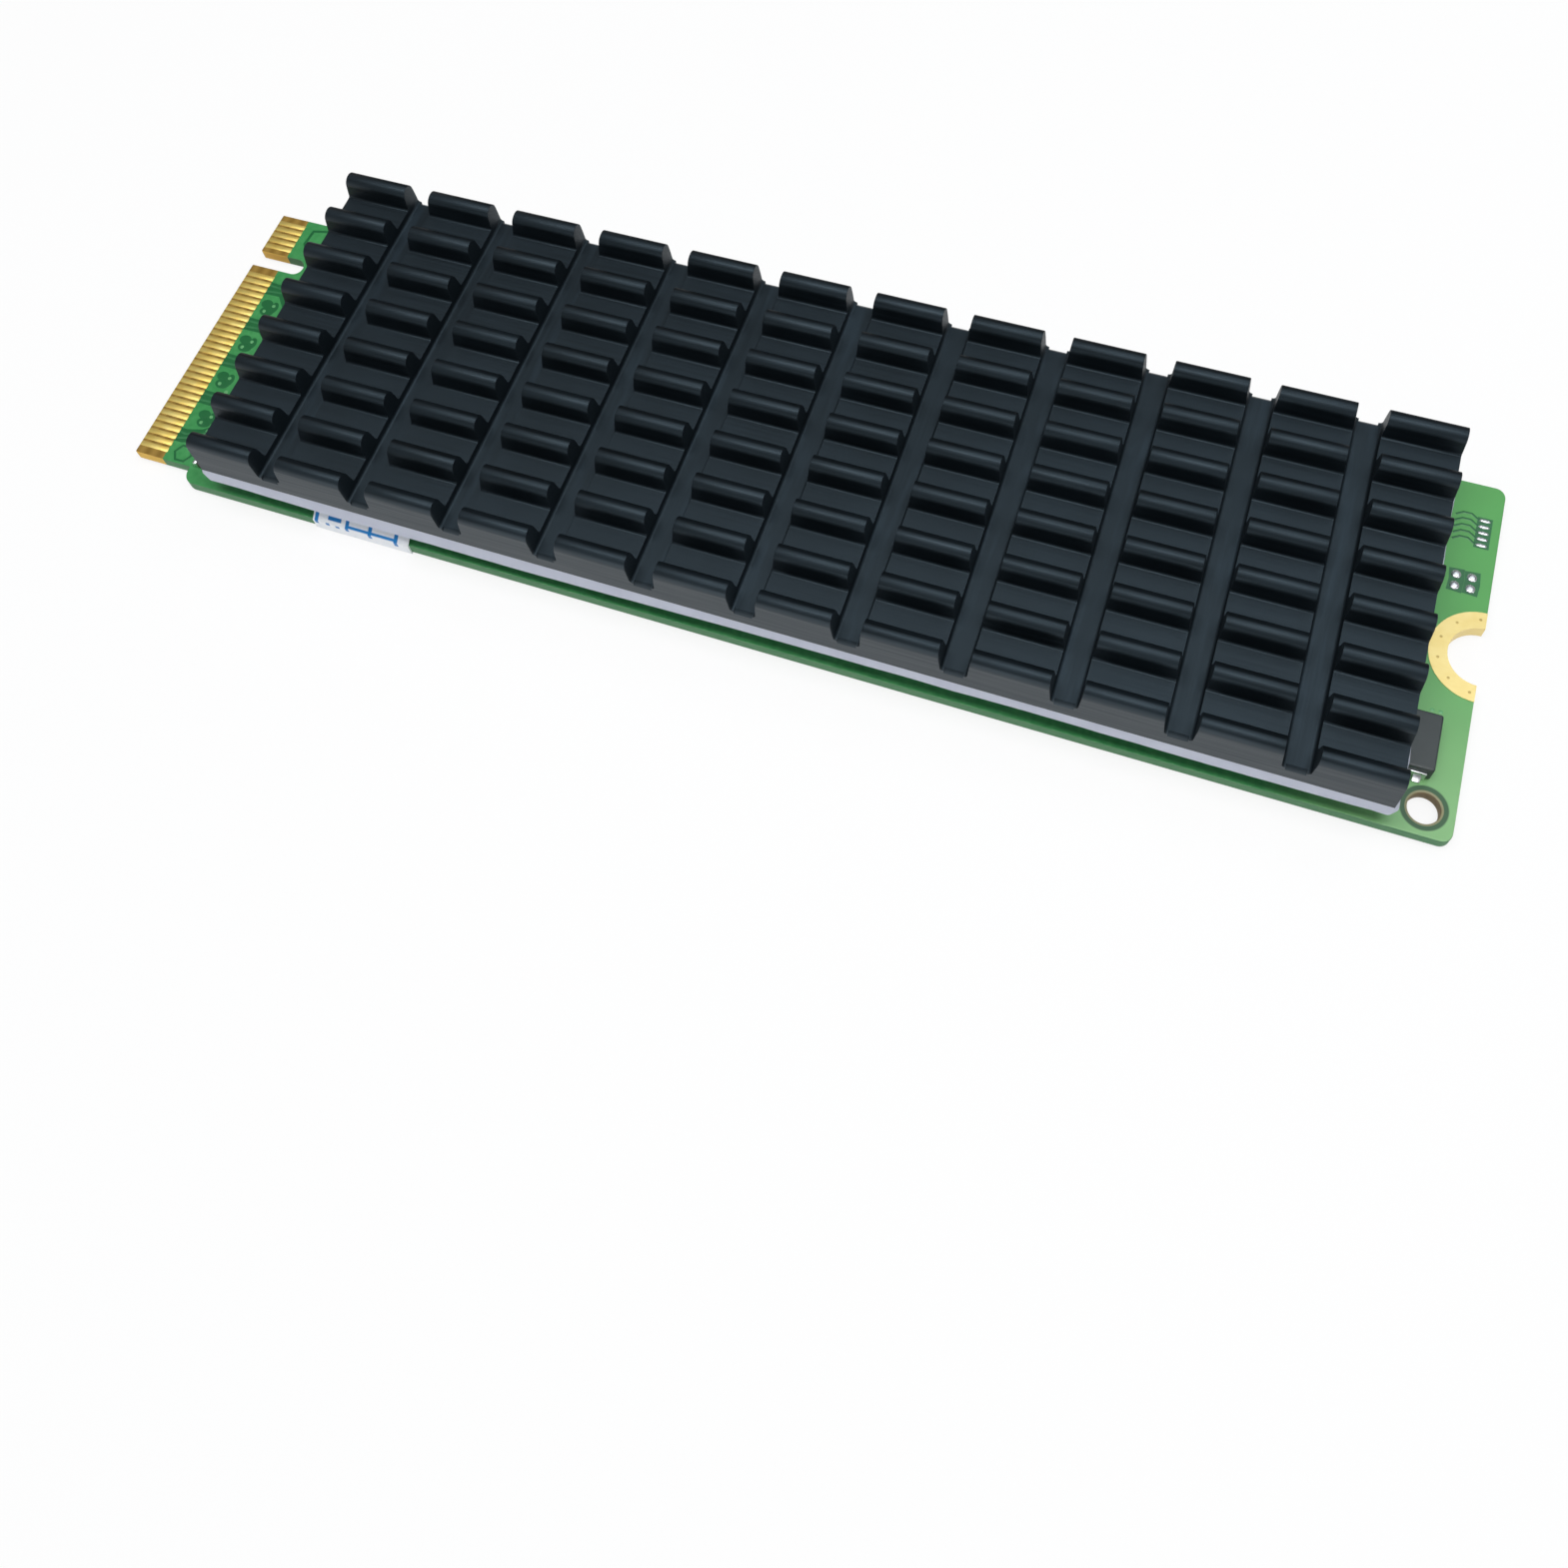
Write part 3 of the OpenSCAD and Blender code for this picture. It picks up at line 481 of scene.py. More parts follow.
anodised = blackAnodisedAluminium()
padSilicone = siliconeGapPad()
boardMask = solderMaskBoard()
clearanceMask = maskOver("maskOverLaminate", "#176234", "#22723e")
trackMask = maskOver("maskOverTrack", "#2c7446", "#3a8450")
viaMask = maskOver("maskOverVia", "#56a566", "#74b87c")
underViaMask = maskOver("maskOverPluggedVia", "#0d4f1a", "#145c22", 0.3)
contactGold = platedGold("hardGoldContacts", "#fbd566", "#fff0a0", 0.5)
ringViaGold = platedGold("immersionGoldHoles", "#b39a5c", "#c9b274", 0.5)
ringGold = platedGold("immersionGoldRing", "#dfc67e", "#ead89a", 0.42)
chipEpoxy = mouldedEpoxy("mouldedEpoxy", "#1b1d1f", "#26292c", 0.55)
tantalumEpoxy = mouldedEpoxy("mouldedEpoxyGrey", "#222b2d", "#2e393a", 0.42)
ferrite = mouldedEpoxy("pressedFerrite", "#24262a", "#383b40", 0.7)
resistorFilm = mouldedEpoxy("glazedResistorFilm", "#0d0e10", "#16181a", 0.3)
tin = reflowedTin()
ceramic = firedCeramic("firedTanCeramic", "#8a6238", "#a87d52")
darkCeramic = firedCeramic("firedBrownCeramic", "#3c3128", "#54463a")
print("materials made")


# Heat sink: the CAD block with its sharp edges broken, as tumbling and anodising leave them

finBlock = {"edgeBreak": 0.035, "tipBreak": 0.09, "tipZ": 5.3, "stepBreak": 0.14, "stepZ": 4.9, "steps": 2}


def buildFinBlock():
    piece = mergedCopy("heat_sink", "finBlock")
    # the cutter's burr is brushed off where each round tip ends, so those rims are wider
    bpy.ops.object.mode_set(mode="EDIT")
    selectEdges(piece, lambda a, b: min(a.z, b.z) > finBlock["tipZ"] * mm and abs(a.x - b.x) < 0.02 * mm)
    bpy.ops.mesh.bevel(offset=finBlock["tipBreak"] * mm, segments=finBlock["steps"], clamp_overlap=True)
    # and so are the groove floors where they drop to the cross cuts
    selectEdges(piece, lambda a, b: abs(a.z - finBlock["stepZ"] * mm) < 0.01 * mm and abs(a.z - b.z) < 0.005 * mm
                and abs(a.x - b.x) < 0.02 * mm)
    bpy.ops.mesh.bevel(offset=finBlock["stepBreak"] * mm, segments=finBlock["steps"], clamp_overlap=True)
    bpy.ops.object.mode_set(mode="OBJECT")
    softenEdges(piece, finBlock["edgeBreak"], finBlock["steps"])
    dress(piece, anodised, "black_anodised_aluminium", "heat_sink")


buildFinBlock()
print("heat sink made")


# Thermal pad: a sheet with round corners, pressed out at the ends, its lower rim hanging past the packages

pad = {
    "corner": 0.35, "cornerSteps": 5, "cell": 1.0, "layers": 4, "wander": 0.24, "nearWander": 0.3, "squeeze": 0.36,
    # how far the lower rim hangs at places along the card, x and drop in millimetres
    "hang": ((-33.4, 0.08), (-28, 0.32), (-21, 0.44), (-9, 0.38), (-3, 0.18), (8, 0.02), (20, 0.02), (27, 0.16),
             (33, 0.12), (36.6, 0)),
    "hangFrom": 9.2,
}


def rimHang(x):
    # drop of the lower rim at x, in millimetres
    places = pad["hang"]
    for (fromX, fromDrop), (toX, toDrop) in zip(places, places[1:]):
        if fromX <= x <= toX:
            return fromDrop + (toDrop - fromDrop) * (x - fromX) / (toX - fromX)
    return places[0][1] if x < places[0][0] else places[-1][1]


def buildThermalPad():
    low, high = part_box("thermal_pad")
    piece = addBox("thermalPadSheet", low, high)
    bpy.ops.object.mode_set(mode="EDIT")
    selectEdges(piece, lambda a, b: abs(a.x - b.x) < mm * 0.01 and abs(a.y - b.y) < mm * 0.01)
    bpy.ops.mesh.bevel(offset=pad["corner"] * mm, segments=pad["cornerSteps"])
    cuts = [("x", low.x + i * pad["cell"] * mm) for i in range(1, int((high.x - low.x) / mm / pad["cell"]))]
    cuts += [("y", low.y + i * pad["cell"] * mm) for i in range(1, int((high.y - low.y) / mm / pad["cell"]))]
    cuts += [("z", low.z + (high.z - low.z) * i / pad["layers"]) for i in range(1, pad["layers"])]
    for side, where in cuts:
        bpy.ops.mesh.select_all(action="SELECT")
        point = {"x": (where, 0, 0), "y": (0, where, 0), "z": (0, 0, where)}[side]
        normal = {"x": (1, 0, 0), "y": (0, 1, 0), "z": (0, 0, 1)}[side]
        bpy.ops.mesh.bisect(plane_co=point, plane_no=normal)
    bpy.ops.object.mode_set(mode="OBJECT")
    sides = piece.vertex_groups.new(name="sides")
    ends = {side: piece.vertex_groups.new(name=side) for side in ("contactEnd", "screwEnd")}
    rim = piece.vertex_groups.new(name="rim")
    for vertex in piece.data.vertices:
        across = min(high.y - abs(vertex.co.y), min(vertex.co.x - low.x, high.x - vertex.co.x))
        # the top stays stuck to the aluminium, and the lower part creeps in and out
        drop = (high.z - vertex.co.z) / (high.z - low.z)
        atEnd = min(vertex.co.x - low.x, high.x - vertex.co.x) < pad["corner"] * mm
        if atEnd:
            side = "contactEnd" if vertex.co.x < 0 else "screwEnd"
            ends[side].add([vertex.index], 1 - abs(drop - 0.5), "REPLACE")
        elif across < 0.01 * mm:
            creep = pad["nearWander"] if vertex.co.y < 0 else 1
            sides.add([vertex.index], creep * (0.25 + 0.75 * drop), "REPLACE")
        if abs(vertex.co.y) > pad["hangFrom"] * mm:
            rim.add([vertex.index], rimHang(vertex.co.x / mm) * drop, "REPLACE")
    clouds = bpy.data.textures.new("padWander", "CLOUDS")
    clouds.noise_scale = 2.6 * mm
    clouds.noise_depth = 3
    applyModifier(piece, "DISPLACE", texture=clouds, texture_coords="LOCAL", vertex_group="sides",
                  strength=pad["wander"] * mm, mid_level=1.1)
    for side, sign in (("contactEnd", -1), ("screwEnd", 1)):
        applyModifier(piece, "DISPLACE", texture=clouds, texture_coords="LOCAL", vertex_group=side, direction="X",
                      strength=sign * pad["squeeze"] * mm, mid_level=-0.4)
    applyModifier(piece, "DISPLACE", direction="Z", vertex_group="rim", strength=-1 * mm, mid_level=0)
    smoothShade(piece, 50)
    dress(piece, padSilicone, "silicone_pad", "thermal_pad")


buildThermalPad()
print("thermal pad made")


# Card and the bodies on it: CAD shapes with broken edges

def buildCard():
    piece = mergedCopy("circuit_board", "cardLaminate")
    softenEdges(piece, 0.07, 2)
    dress(piece, boardMask, "green_solder_mask", "circuit_board")
    for nodeName, name in (("top_edge_contacts", "topContacts"), ("bottom_edge_contacts", "bottomContacts")):
        contacts = mergedCopy(nodeName, name)
        softenEdges(contacts, 0.02, 2)
        dress(contacts, contactGold, "gold_plating", nodeName)
    ring = mergedCopy("screw_notch_plating", "notchRing", flatFaces=False)
    smoothShade(ring, 40)
    dress(ring, ringGold, "gold_plating", "screw_notch_plating")


def buildBodies():
    parts = (
        ("controller_chip", "controllerPackage", chipEpoxy, "package_epoxy", 0.08),
        ("cache_memory_chip", "cachePackage", chipEpoxy, "package_epoxy", 0.08),
        ("inner_flash_chip", "innerFlashPackage", chipEpoxy, "package_epoxy", 0.08),
        ("outer_flash_chip", "outerFlashPackage", chipEpoxy, "package_epoxy", 0.08),
        ("power_chip", "powerPackage", chipEpoxy, "package_epoxy", 0.05),
        ("power_inductors", "inductorCores", ferrite, "ferrite", 0.06),
        ("inductor_terminals", "inductorCaps", tin, "tinned_metal", 0.05),
        ("clock_crystal", "crystalCan", tin, "tinned_metal", 0.1),
        ("tantalum_capacitor", "tantalumBody", tantalumEpoxy, "tantalum_epoxy", 0.14),
        ("tantalum_terminals", "tantalumFeet", tin, "tinned_metal", 0.03),
        ("bulk_capacitor", "bulkCeramic", ceramic, "tan_ceramic", 0.04),
        ("bulk_capacitor_terminals", "bulkCaps", tin, "tinned_metal", 0.05),
        ("ceramic_capacitors", "capacitorCeramics", darkCeramic, "tan_ceramic", 0.03),
        ("capacitor_terminals", "capacitorCaps", tin, "tinned_metal", 0.04),
        ("chip_resistors", "resistorBodies", resistorFilm, "resistor_film", 0.03),
        ("resistor_terminals", "resistorCaps", tin, "tinned_metal", 0.03),
    )
    for nodeName, name, material, slotName, width in parts:
        piece = mergedCopy(nodeName, name)
        softenEdges(piece, width, 2)
        dress(piece, material, slotName, nodeName)


buildCard()
buildBodies()
print("card and bodies made")


# Seal label: a paper strip bent round the long edge

label = {"bend": 0.18, "steps": 5, "leanFrom": 0.85, "lean": 0.72, "drop": 0.8, "climbEnd": -9.9}


def buildLabel():
    low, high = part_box("seal_label")
    thick = 0.1 * mm
    # one flap first, then the strip is extruded round the fold as paper is folded by hand
    piece = addBox("labelStrip", (low.x, low.y, low.z), (high.x, low.y + thick, high.z))
    bpy.ops.object.mode_set(mode="EDIT")
    for faceZ, reach in ((high.z, 7.0 * mm), (low.z, 4.5 * mm)):
        inner = faceZ - thick if faceZ == high.z else faceZ + thick
        bpy.ops.mesh.select_all(action="SELECT")
        bpy.ops.mesh.bisect(plane_co=(0, 0, inner), plane_no=(0, 0, 1))
        selectFaces(piece, lambda middle, normal: normal.y > 0.9 and (middle.z - inner) * (faceZ - inner) > 0
                    and middle.y > low.y + thick * 0.5)
        bpy.ops.mesh.extrude_region_move(TRANSFORM_OT_translate={"value": (0, reach, 0)})
    selectEdges(piece, lambda a, b: abs(a.y - low.y) < 0.001 * mm and abs(b.y - low.y) < 0.001 * mm
                and abs(a.z - b.z) < 0.001 * mm and (abs(a.z - high.z) < 0.001 * mm or abs(a.z - low.z) < 0.001 * mm))
    bpy.ops.mesh.bevel(offset=label["bend"] * mm * 0.5, segments=label["steps"])
    # above the card the paper leans in under the pad's rim, and from there the flap climbs onto the packages
    bpy.ops.mesh.select_all(action="SELECT")
    bpy.ops.mesh.bisect(plane_co=(0, 0, label["leanFrom"] * mm), plane_no=(0, 0, 1))
    bpy.ops.mesh.select_all(action="SELECT")
    bpy.ops.mesh.bisect(plane_co=(0, label["climbEnd"] * mm, 0), plane_no=(0, 1, 0))
    selectEdges(piece, lambda a, b: max(a.y, b.y) < low.y + 0.15 * mm and min(a.z, b.z) > high.z - 0.2 * mm)
    bpy.ops.transform.translate(value=(0, label["lean"] * mm, -label["drop"] * mm))
    bpy.ops.object.mode_set(mode="OBJECT")
    smoothShade(piece, 40)
    dress(piece, printedLabelPaper(low, high), "label_paper", "seal_label")


buildLabel()
print("label made")


# Print on the card: copper lines and pads stand a few micrometres proud under the mask

cardFace = {"top": 0.8 * mm, "under": 0.0, "contactEdge": -40.0}


def addRidge(name, points, width, rise, faceZ, closed=False):
    # a flat ridge along a path on the card: a round bar pressed down, half of it sunk
    path = bpy.data.curves.new(name, "CURVE")
    path.dimensions = "3D"
    path.bevel_depth = width / 2 * mm
    path.bevel_resolution = 2
    path.use_fill_caps = not closed
    line = path.splines.new("POLY")
    line.points.add(len(points) - 1)
    line.use_cyclic_u = closed
    for spot, (x, y) in zip(line.points, points):
        spot.co = ((cardFace["contactEdge"] + x) * mm, y * mm, 0, 1)
    holder = bpy.data.objects.new(name, path)
    bpy.context.scene.collection.objects.link(holder)
    makeActive(holder)
    bpy.ops.object.convert(target="MESH")
    piece = bpy.context.active_object
    pressed = Matrix.Diagonal((1, 1, rise / (width / 2), 1))
    piece.data.transform(Matrix.Translation((0, 0, faceZ)) @ pressed)
    smoothShade(piece, 60)
    return piece


def modelDome(sides=14):
    # a unit dome, flat side down, for solder bumps and plugged holes
    deselectAll()
    bpy.ops.mesh.primitive_uv_sphere_add(segments=sides, ring_count=6, radius=1)
    piece = bpy.context.active_object
    bpy.ops.object.mode_set(mode="EDIT")
    bpy.ops.mesh.select_all(action="SELECT")
    bpy.ops.mesh.bisect(plane_co=(0, 0, 0), plane_no=(0, 0, 1), use_fill=True, clear_inner=True)
    bpy.ops.object.mode_set(mode="OBJECT")
    smoothShade(piece, 60)
    return piece


def placeDomes(name, dome, spots, faceZ, downwards=False):
    # each spot: x from the contact edge, y, half length, half width and rise in millimetres
    turn = Matrix.Rotation(math.pi, 4, "X") if downwards else Matrix.Identity(4)
    pieces = []
    for x, y, halfLength, halfWidth, rise in spots:
        place = Matrix.Translation(((cardFace["contactEdge"] + x) * mm, y * mm, faceZ))
        size = Matrix.Diagonal((halfLength * mm, halfWidth * mm, rise * mm, 1))
        pieces.append(moulded(dome, place @ size @ turn))
    return joined(pieces, name)


def besideRoute(points, offset, startOffset):
    # the same route moved sideways, its first point at the contact's own offset
    moved = []
    for i, (x, y) in enumerate(points):
        before = points[max(i - 1, 0)]
        after = points[min(i + 1, len(points) - 1)]
        along = Vector((after[0] - before[0], after[1] - before[1])).normalized()
        reach = startOffset if i == 0 else offset
        moved.append((x - along.y * reach, y + along.x * reach))
    return moved


def ringPoints(middleX, middleY, reach, count, start=0, end=360):
    # points on a circle, from one angle to another in degrees
    angles = [math.radians(start + (end - start) * k / count) for k in range(count)]
    return [(middleX + reach * math.cos(a), middleY + reach * math.sin(a)) for a in angles]


frontPrint = {
    "channelWidth": 1.0, "channelRise": 0.006,
    "trackWidth": 0.17, "trackRise": 0.014, "trackOffset": 0.15, "contactOffset": 0.25,
    # the centre line of each pair of tracks, x from the contact edge and y
    "routes": (((2.0, 4.0), (3.3, 4.0), (4.2, 3.0), (4.3, 2.5), (5.1, 1.45), (5.8, 1.2), (8.5, 1.2)),
               ((2.0, 1.0), (3.4, 1.0), (4.15, 0.4), (4.3, -0.4), (4.65, -0.7), (8.5, -0.75)),
               ((2.0, -2.0), (3.6, -2.05), (4.2, -2.25), (5.0, -2.75), (8.5, -2.8)),
               ((2.0, -5.0), (5.0, -5.05), (8.5, -5.1)),
               ((2.0, -8.0), (2.5, -8.0), (3.6, -7.7), (4.15, -7.3), (5.0, -7.1), (8.5, -7.15))),
    # each pocket is three lobes: place along and across, half length and half width
    "pocketLobes": ((-0.2, 0.3, 0.42, 0.34), (0.05, -0.27, 0.5, 0.36), (0.4, 0.12, 0.28, 0.46)),
    "pockets": ((2.82, 2.5), (2.82, -0.5), (2.82, -3.5), (3.15, -6.5)),
    "viaRadius": 0.14, "viaSteps": ((0.32, 0.24), (-0.12, -0.3), (0.62, -0.78)),
    "largeHexagon": ((2.75, 9.2), (3.83, 9.45), (4.87, 8.4), (4.62, 7.7), (3.42, 7.1), (2.65, 8.1)),
    "smallHexagon": (3.1, -9.2, 0.6),
}


def addFrontPrint(dome):
    face = cardFace["top"]
    rise = frontPrint["channelRise"]
    channels = []
    tracks = []
    for route in frontPrint["routes"]:
        channels.append(addRidge("channel", route, frontPrint["channelWidth"], rise, face))
        for side in (1, -1):
            beside = besideRoute(route, side * frontPrint["trackOffset"], side * frontPrint["contactOffset"])
            tracks.append(addRidge("track", beside, frontPrint["trackWidth"], frontPrint["trackRise"], face))
    vias = []
    pockets = []
    for x, y in frontPrint["pockets"]:
        for along, across, halfLength, halfWidth in frontPrint["pocketLobes"]:
            pockets.append((x + along, y + across, halfLength, halfWidth, 0.009))
        for along, across in frontPrint["viaSteps"]:
            radius = frontPrint["viaRadius"]
            vias.append((x + along, y + across, radius, radius, 0.016))
    channels.append(addRidge("hexagon", frontPrint["largeHexagon"], 0.24, rise, face, closed=True))
    channels.append(addRidge("hexagon", ringPoints(*frontPrint["smallHexagon"], 6), 0.18, rise, face, closed=True))
    channels.append(placeDomes("pockets", dome, pockets, face))
    dress(joined(channels, "clearanceChannels"), clearanceMask, "green_solder_mask")
    dress(joined(tracks, "signalTracks"), trackMask, "green_solder_mask")
    dress(placeDomes("frontVias", dome, vias, face), viaMask, "green_solder_mask")


farPrint = {
    "padX": 79.1, "padFirstY": 8.6, "padPitch": 0.41, "padCount": 5, "barLength": 0.64, "barWidth": 0.23,
    "trackWidth": 0.13, "trackBends": ((0.35, 0), (0.75, 0.3), (1.2, 0.3), (1.6, 0.05)),
    "bareX": (78.05, 78.9), "bareY": (4.03, 4.75), "surround": 0.84,
    "ringDots": 6, "ringDotReach": 2.28, "viaSpots": ((78.0, -3.83), (78.44, -3.83)),
}


def addFarPrint(dome):
    face = cardFace["top"]
    clearance = []
    solder = []
    for k in range(farPrint["padCount"]):
        y = farPrint["padFirstY"] - k * farPrint["padPitch"]
        # each long pad carries a low bar of solder, higher at both ends, and a track runs inwards from it
        solder.append((farPrint["padX"], y, farPrint["barLength"] / 2, farPrint["barWidth"] / 2, 0.035))
        for side in (0.5, -0.5):
            solder.append((farPrint["padX"] + side * 0.32, y, 0.13, 0.11, 0.045))
        inwards = [(farPrint["padX"] - along, y + across) for along, across in farPrint["trackBends"]]
        clearance.append(addRidge("track", inwards, farPrint["trackWidth"], 0.01, face))
    lastY = farPrint["padFirstY"] - (farPrint["padCount"] - 1) * farPrint["padPitch"]
    block = ((farPrint["padX"], farPrint["padFirstY"] + 0.2), (farPrint["padX"], lastY - 0.2))
    clearance.append(addRidge("padSurround", block, farPrint["surround"], 0.005, face))
    for x in farPrint["bareX"]:
        lowY, highY = farPrint["bareY"]
        bow = ((x, lowY - 0.38), (x + 0.06, (lowY + highY) / 2), (x, highY + 0.38))
        clearance.append(addRidge("padSurround", bow, farPrint["surround"], 0.006, face))
    bare = [(x, y, 0.27, 0.28, 0.07) for x in farPrint["bareX"] for y in farPrint["bareY"]]
    dress(joined(clearance, "farClearance"), clearanceMask, "green_solder_mask")
    dress(placeDomes("testPadSolder", dome, solder, face), tin, "tinned_metal", "test_pads")
    dress(placeDomes("barePadSolder", dome, bare, face), tin, "tinned_metal", "bare_pads")
    vias = [(x, y, 0.12, 0.12, 0.014) for x, y in farPrint["viaSpots"]]
    dress(placeDomes("farVias", dome, vias, face), viaMask, "green_solder_mask")
    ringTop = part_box("screw_notch_plating")[1].z - 0.004 * mm
    spots = ringPoints(80, 0, farPrint["ringDotReach"], farPrint["ringDots"], 98, 295)
    dots = [(x, y, 0.095, 0.095, 0.008) for x, y in spots]
    dress(placeDomes("ringVias", dome, dots, ringTop), ringViaGold, "gold_plating")


underPrint = {
    # middle x, middle y, spread along, spread across, number of plugged holes
    "groups": ((70.5, -3.0, 2.4, 3.4, 95), (68.5, 4.5, 2.4, 2.2, 36), (56.5, -0.5, 2.6, 4.4, 95),
               (45.0, 1.0, 7.0, 6.0, 34), (24.0, 0.0, 9.0, 5.5, 26)),
    "grid": 0.5, "rise": 0.008, "testPadX": 78.3, "testPadStepX": 0.7, "testPadY": -3.8, "testPadStepY": 0.7,
}


def addUnderPrint(dome):
    face = cardFace["under"]
    grid = underPrint["grid"]
    taken = set()
    holes = []
    for middleX, middleY, spreadX, spreadY, count in underPrint["groups"]:
        for attempt in range(count):
            x = round(random.gauss(middleX, spreadX) / grid) * grid
            y = round(random.gauss(middleY, spreadY) / grid) * grid
            clearOfRing = math.hypot(x - 80, y) > 3.5
            clearOfHole = math.hypot(x - 78.4, y + 9.45) > 2.0
            clearOfLabel = x > 21.0 or x < 12.5 or y > -5.9
            if abs(y) > 9.9 or not 8 < x < 77 or (x, y) in taken or not (clearOfRing and clearOfHole and clearOfLabel):
                continue
            taken.add((x, y))
            long, short = random.choice(((0.17, 0.17), (0.2, 0.2), (0.32, 0.19), (0.42, 0.2)))
            along = random.random() < 0.5
            holes.append((x, y, long if along else short, short if along else long, underPrint["rise"]))
    piece = placeDomes("pluggedHoles", dome, holes, face, downwards=True)
    dress(piece, underViaMask, "green_solder_mask")
    pads = []
    for k in range(3):
        for j in range(6):
            pads.append((underPrint["testPadX"] - k * underPrint["testPadStepX"],
                         underPrint["testPadY"] - j * underPrint["testPadStepY"], 0.19, 0.19, 0.03))
    piece = placeDomes("undersideTestSolder", dome, pads, face, downwards=True)
    dress(piece, tin, "tinned_metal", "underside_test_pads")


def addPrint():
    dome = modelDome()
    lowDome = modelDome(10)
    addFrontPrint(dome)
    addFarPrint(dome)
    addUnderPrint(lowDome)
    discard(dome)
    discard(lowDome)


addPrint()
print("print and solder bumps made")


# Solder fillets at the ends of the small parts that show beside the pad

fillet = {
    "length": 0.2, "width": 0.46, "height": 0.34, "partHalf": 0.5,
    # x from the contact edge, first y, step, how many
    "rows": ((6.05, 7.5, -0.72, 6), (4.85, 5.6, -0.87, 4), (4.85, -8.1, -0.75, 3), (6.05, -8.1, -0.75, 3)),
}


def modelFillet():
    # a block whose far top edge is drawn down to the card, then rounded
    length, width, height = (fillet[side] * mm for side in ("length", "width", "height"))
    piece = addBox("solderFillet", (0, -width / 2, 0), (length, width / 2, height))
    bpy.ops.object.mode_set(mode="EDIT")
    selectEdges(piece, lambda a, b: min(a.x, b.x) > length * 0.9 and min(a.z, b.z) > height * 0.9)
    bpy.ops.transform.translate(value=(0, 0, -height * 0.85))
    bpy.ops.mesh.select_all(action="SELECT")
    bpy.ops.mesh.bisect(plane_co=(length * 0.4, 0, 0), plane_no=(1, 0, 0))
    selectEdges(piece, lambda a, b: abs(a.x - length * 0.4) < length * 0.05 and abs(b.x - length * 0.4) < length * 0.05
                and min(a.z, b.z) > height * 0.3)
    bpy.ops.transform.translate(value=(0, 0, -height * 0.22))
    bpy.ops.object.mode_set(mode="OBJECT")
    softenEdges(piece, 0.04, 2, 30)
    return piece


def addFillets():
    source = modelFillet()
    pieces = []
    for x, firstY, step, count in fillet["rows"]:
        for k in range(count):
            for turn in (0, math.pi):
                reach = fillet["partHalf"] * (1 if turn == 0 else -1)
                place = ((cardFace["contactEdge"] + x + reach) * mm, (firstY + k * step) * mm, cardFace["top"])
                pieces.append(moulded(source, Matrix.Translation(place) @ Matrix.Rotation(turn, 4, "Z")))
    # the large capacitor lies across the card, and the tantalum's feet show on its near side
    for x, y, turn, widen in ((4.8, 8.2, math.pi / 2, 1.5), (4.8, 6.7, -math.pi / 2, 1.5),
                              (76.35, -7.95, -math.pi / 2, 0.9), (77.75, -7.95, -math.pi / 2, 0.9)):
        place = Matrix.Translation(((cardFace["contactEdge"] + x) * mm, y * mm, cardFace["top"]))
        turned = place @ Matrix.Rotation(turn, 4, "Z")
        pieces.append(moulded(source, turned @ Matrix.Diagonal((1.3, widen, 1.2, 1))))
    dress(joined(pieces, "solderFillets"), tin, "tinned_metal")
    discard(source)


addFillets()
print("solder fillets made")


# Floor and light

studio = {
    "floorSize": 24.0,
    "floorDrop": 0.02,
    "world": 0.15,
    # name, place, size along and across (mm), brightness, colour
    "lamps": (("topSoftbox", (0, -10, 330), (360, 125), 5.9, "#ffffff"),
              ("backRightSoftbox", (92, 128, 255), (170, 140), 1.6, "#eef6fc"),
              ("backLeftSoftbox", (-170, 150, 260), (230, 90), 0.12, "#ffffff"),
              ("lowFrontFill", (0, -400, 50), (400, 60), 5.1, "#ffffff"),
              ("rightStrip", (300, -40, 190), (60, 200), 2.5, "#ffffff")),
}


def addLamp(name, place, size, brightness, colour):
    lamp = bpy.data.lights.new(name, "AREA")
    lamp.shape = "RECTANGLE"
    lamp.size, lamp.size_y = size[0] * mm, size[1] * mm
    lamp.energy = brightness * math.pi * lamp.size * lamp.size_y
    lamp.color = toLinear(colour)[:3]
    holder = bpy.data.objects.new(name, lamp)
    bpy.context.scene.collection.objects.link(holder)
    holder.location = Vector(place) * mm
    holder.rotation_euler = (-Vector(place)).to_track_quat("-Z", "Y").to_euler()


def seenOrMirrored(tree):
    ray = addNode(tree, "LightPath").outputs
    either = addNode(tree, "Math", {0: ray["Is Camera Ray"], 1: ray["Is Glossy Ray"]}, operation="MAXIMUM")
    return addNode(tree, "Math", {0: either.outputs[0], 1: ray["Is Transmission Ray"]},
                   operation="MAXIMUM").outputs[0]


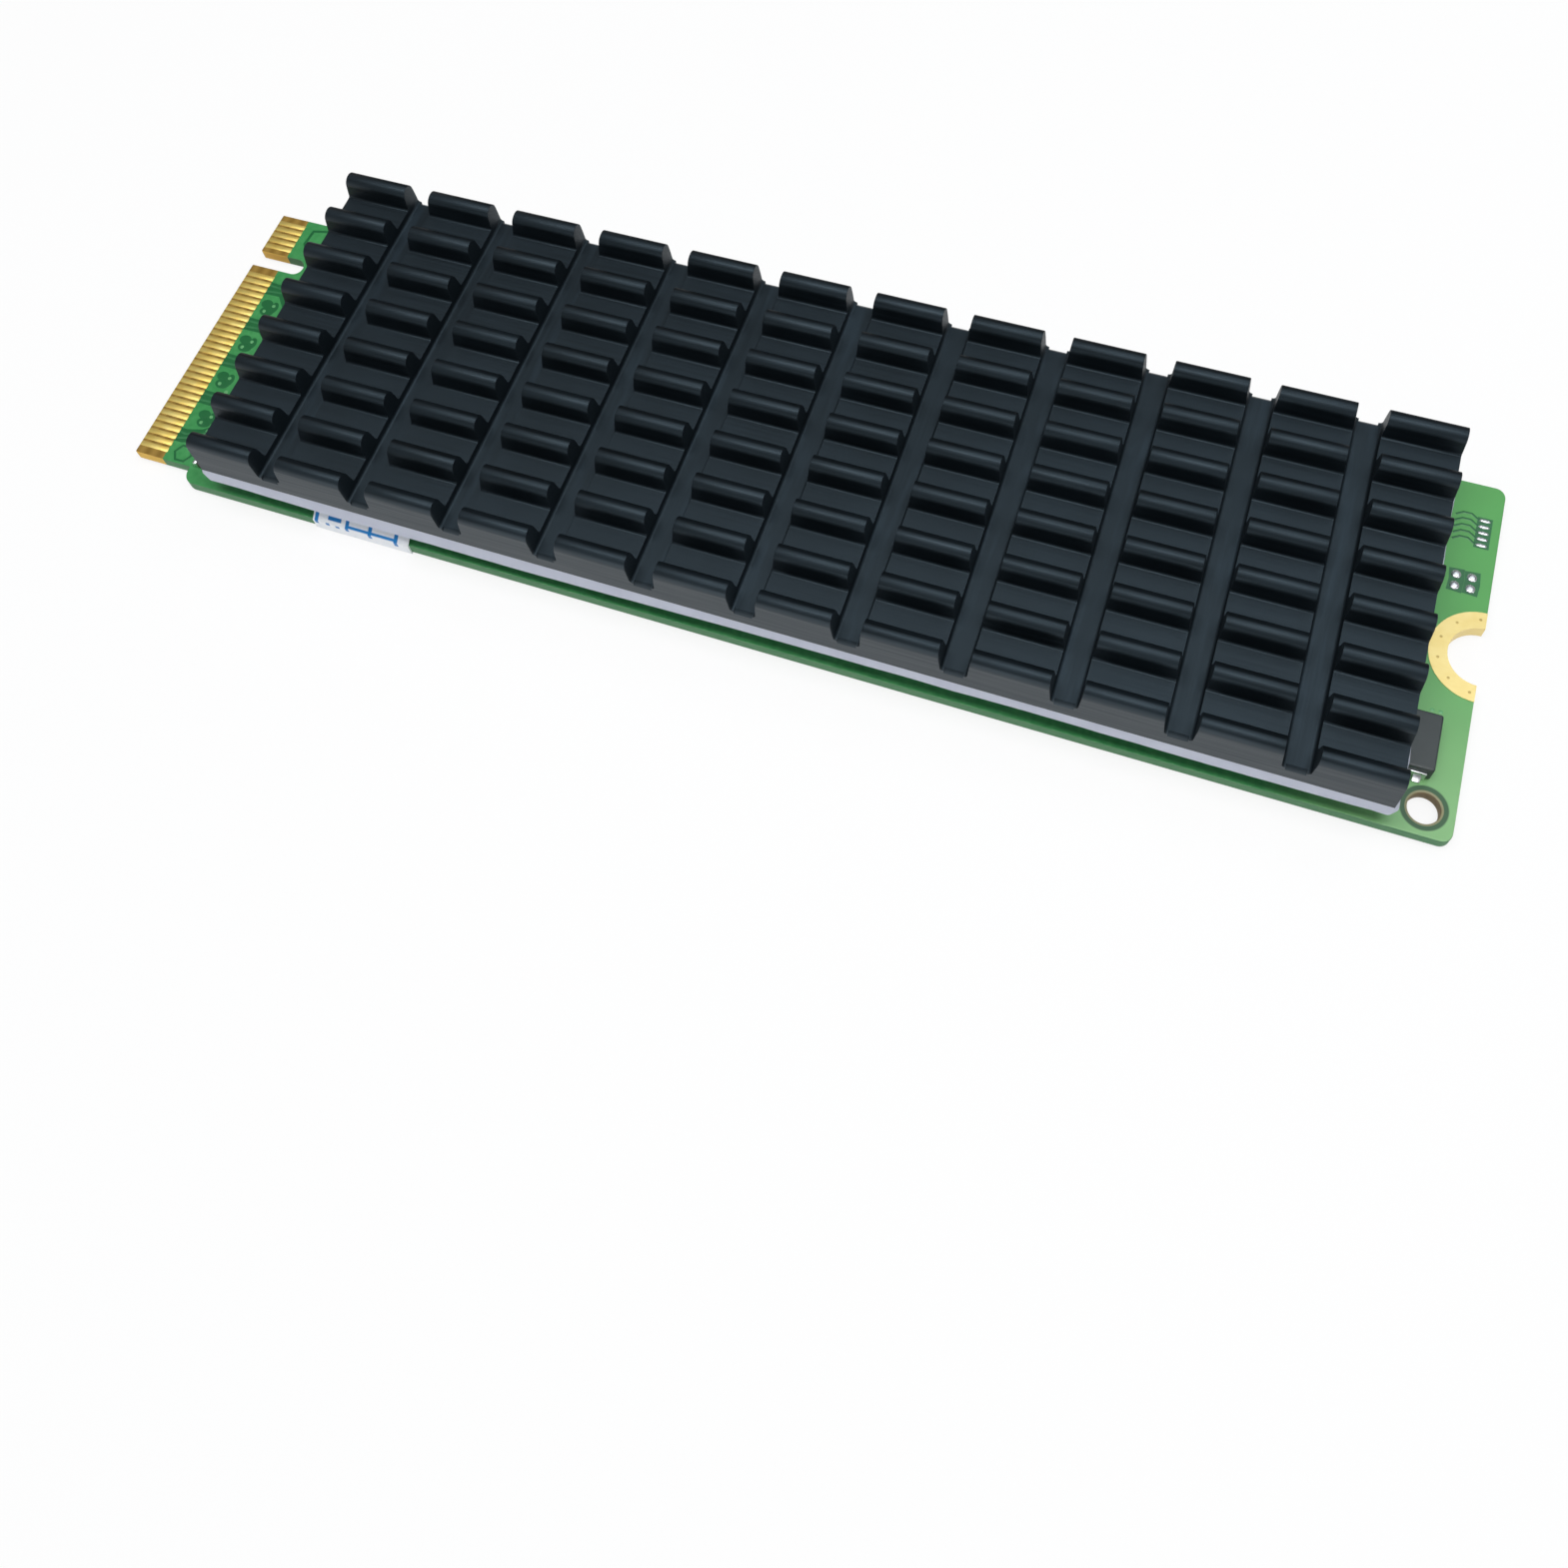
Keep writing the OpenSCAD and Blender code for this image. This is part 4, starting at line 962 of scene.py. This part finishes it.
def addStudio():
    material, tree, shader = startMaterial("paleStudioFloor")
    # matt white board with a barely visible tooth
    place = addNode(tree, "TexCoord").outputs["Object"]
    tooth = addNode(tree, "TexNoise", {"Vector": place, "Scale": perMm(1.2), "Detail": 3.0}).outputs[0]
    tone = addNode(tree, "Mix", {0: tooth, 6: toLinear("#f9f9f9"), 7: toLinear("#fdfdfd")}, data_type="RGBA")
    tree.links.new(tone.outputs[2], shader.inputs["Base Color"])
    shader.inputs["Roughness"].default_value = 0.9
    # seen directly or mirrored the board is lit nearly evenly, as a white sweep behind a product is
    seen = seenOrMirrored(tree)
    glow = addNode(tree, "Emission", {"Color": toLinear("#fdfdfd"), "Strength": 0.84}).outputs[0]
    dull = addNode(tree, "BsdfDiffuse", {"Color": (0.18, 0.18, 0.18, 1)}).outputs[0]
    even = addNode(tree, "AddShader", {0: glow, 1: dull}).outputs[0]
    mixed = addNode(tree, "MixShader", {0: seen, 1: shader.outputs[0], 2: even}).outputs[0]
    tree.links.new(mixed, tree.nodes["Material Output"].inputs["Surface"])
    deselectAll()
    bpy.ops.mesh.primitive_plane_add(size=studio["floorSize"], location=(0, 0, cadBox[0][2] - studio["floorDrop"] * mm))
    floor = bpy.context.active_object
    floor.name = "studioFloor"
    floor.data.materials.append(material)

    world = bpy.data.worlds.new("studioWorld")
    bpy.context.scene.world = world
    world.use_nodes = True
    skyTree = world.node_tree
    sky = skyTree.nodes["Background"]
    sky.inputs["Color"].default_value = toLinear("#f4f7fb")
    sky.inputs["Strength"].default_value = studio["world"]
    # the dim room lights the part, and a white wall stands beyond the floor, dark again near the ceiling
    direction = addNode(skyTree, "TexCoord").outputs["Generated"]
    upness = addNode(skyTree, "SeparateXYZ", {"Vector": direction}).outputs["Z"]
    reach = addNode(skyTree, "MapRange", {0: upness, 1: 0.06, 2: 0.24, 3: 1.0, 4: studio["world"]}).outputs[0]
    wall = addNode(skyTree, "Background", {"Color": toLinear("#f1f1f1"), "Strength": reach}).outputs[0]
    backdrop = addNode(skyTree, "MixShader", {0: seenOrMirrored(skyTree), 1: sky.outputs[0], 2: wall}).outputs[0]
    skyTree.links.new(backdrop, skyTree.nodes["World Output"].inputs["Surface"])

    for lamp in studio["lamps"]:
        addLamp(*lamp)


addStudio()
bpy.context.scene.view_settings.view_transform = "Standard"
print("studio made")
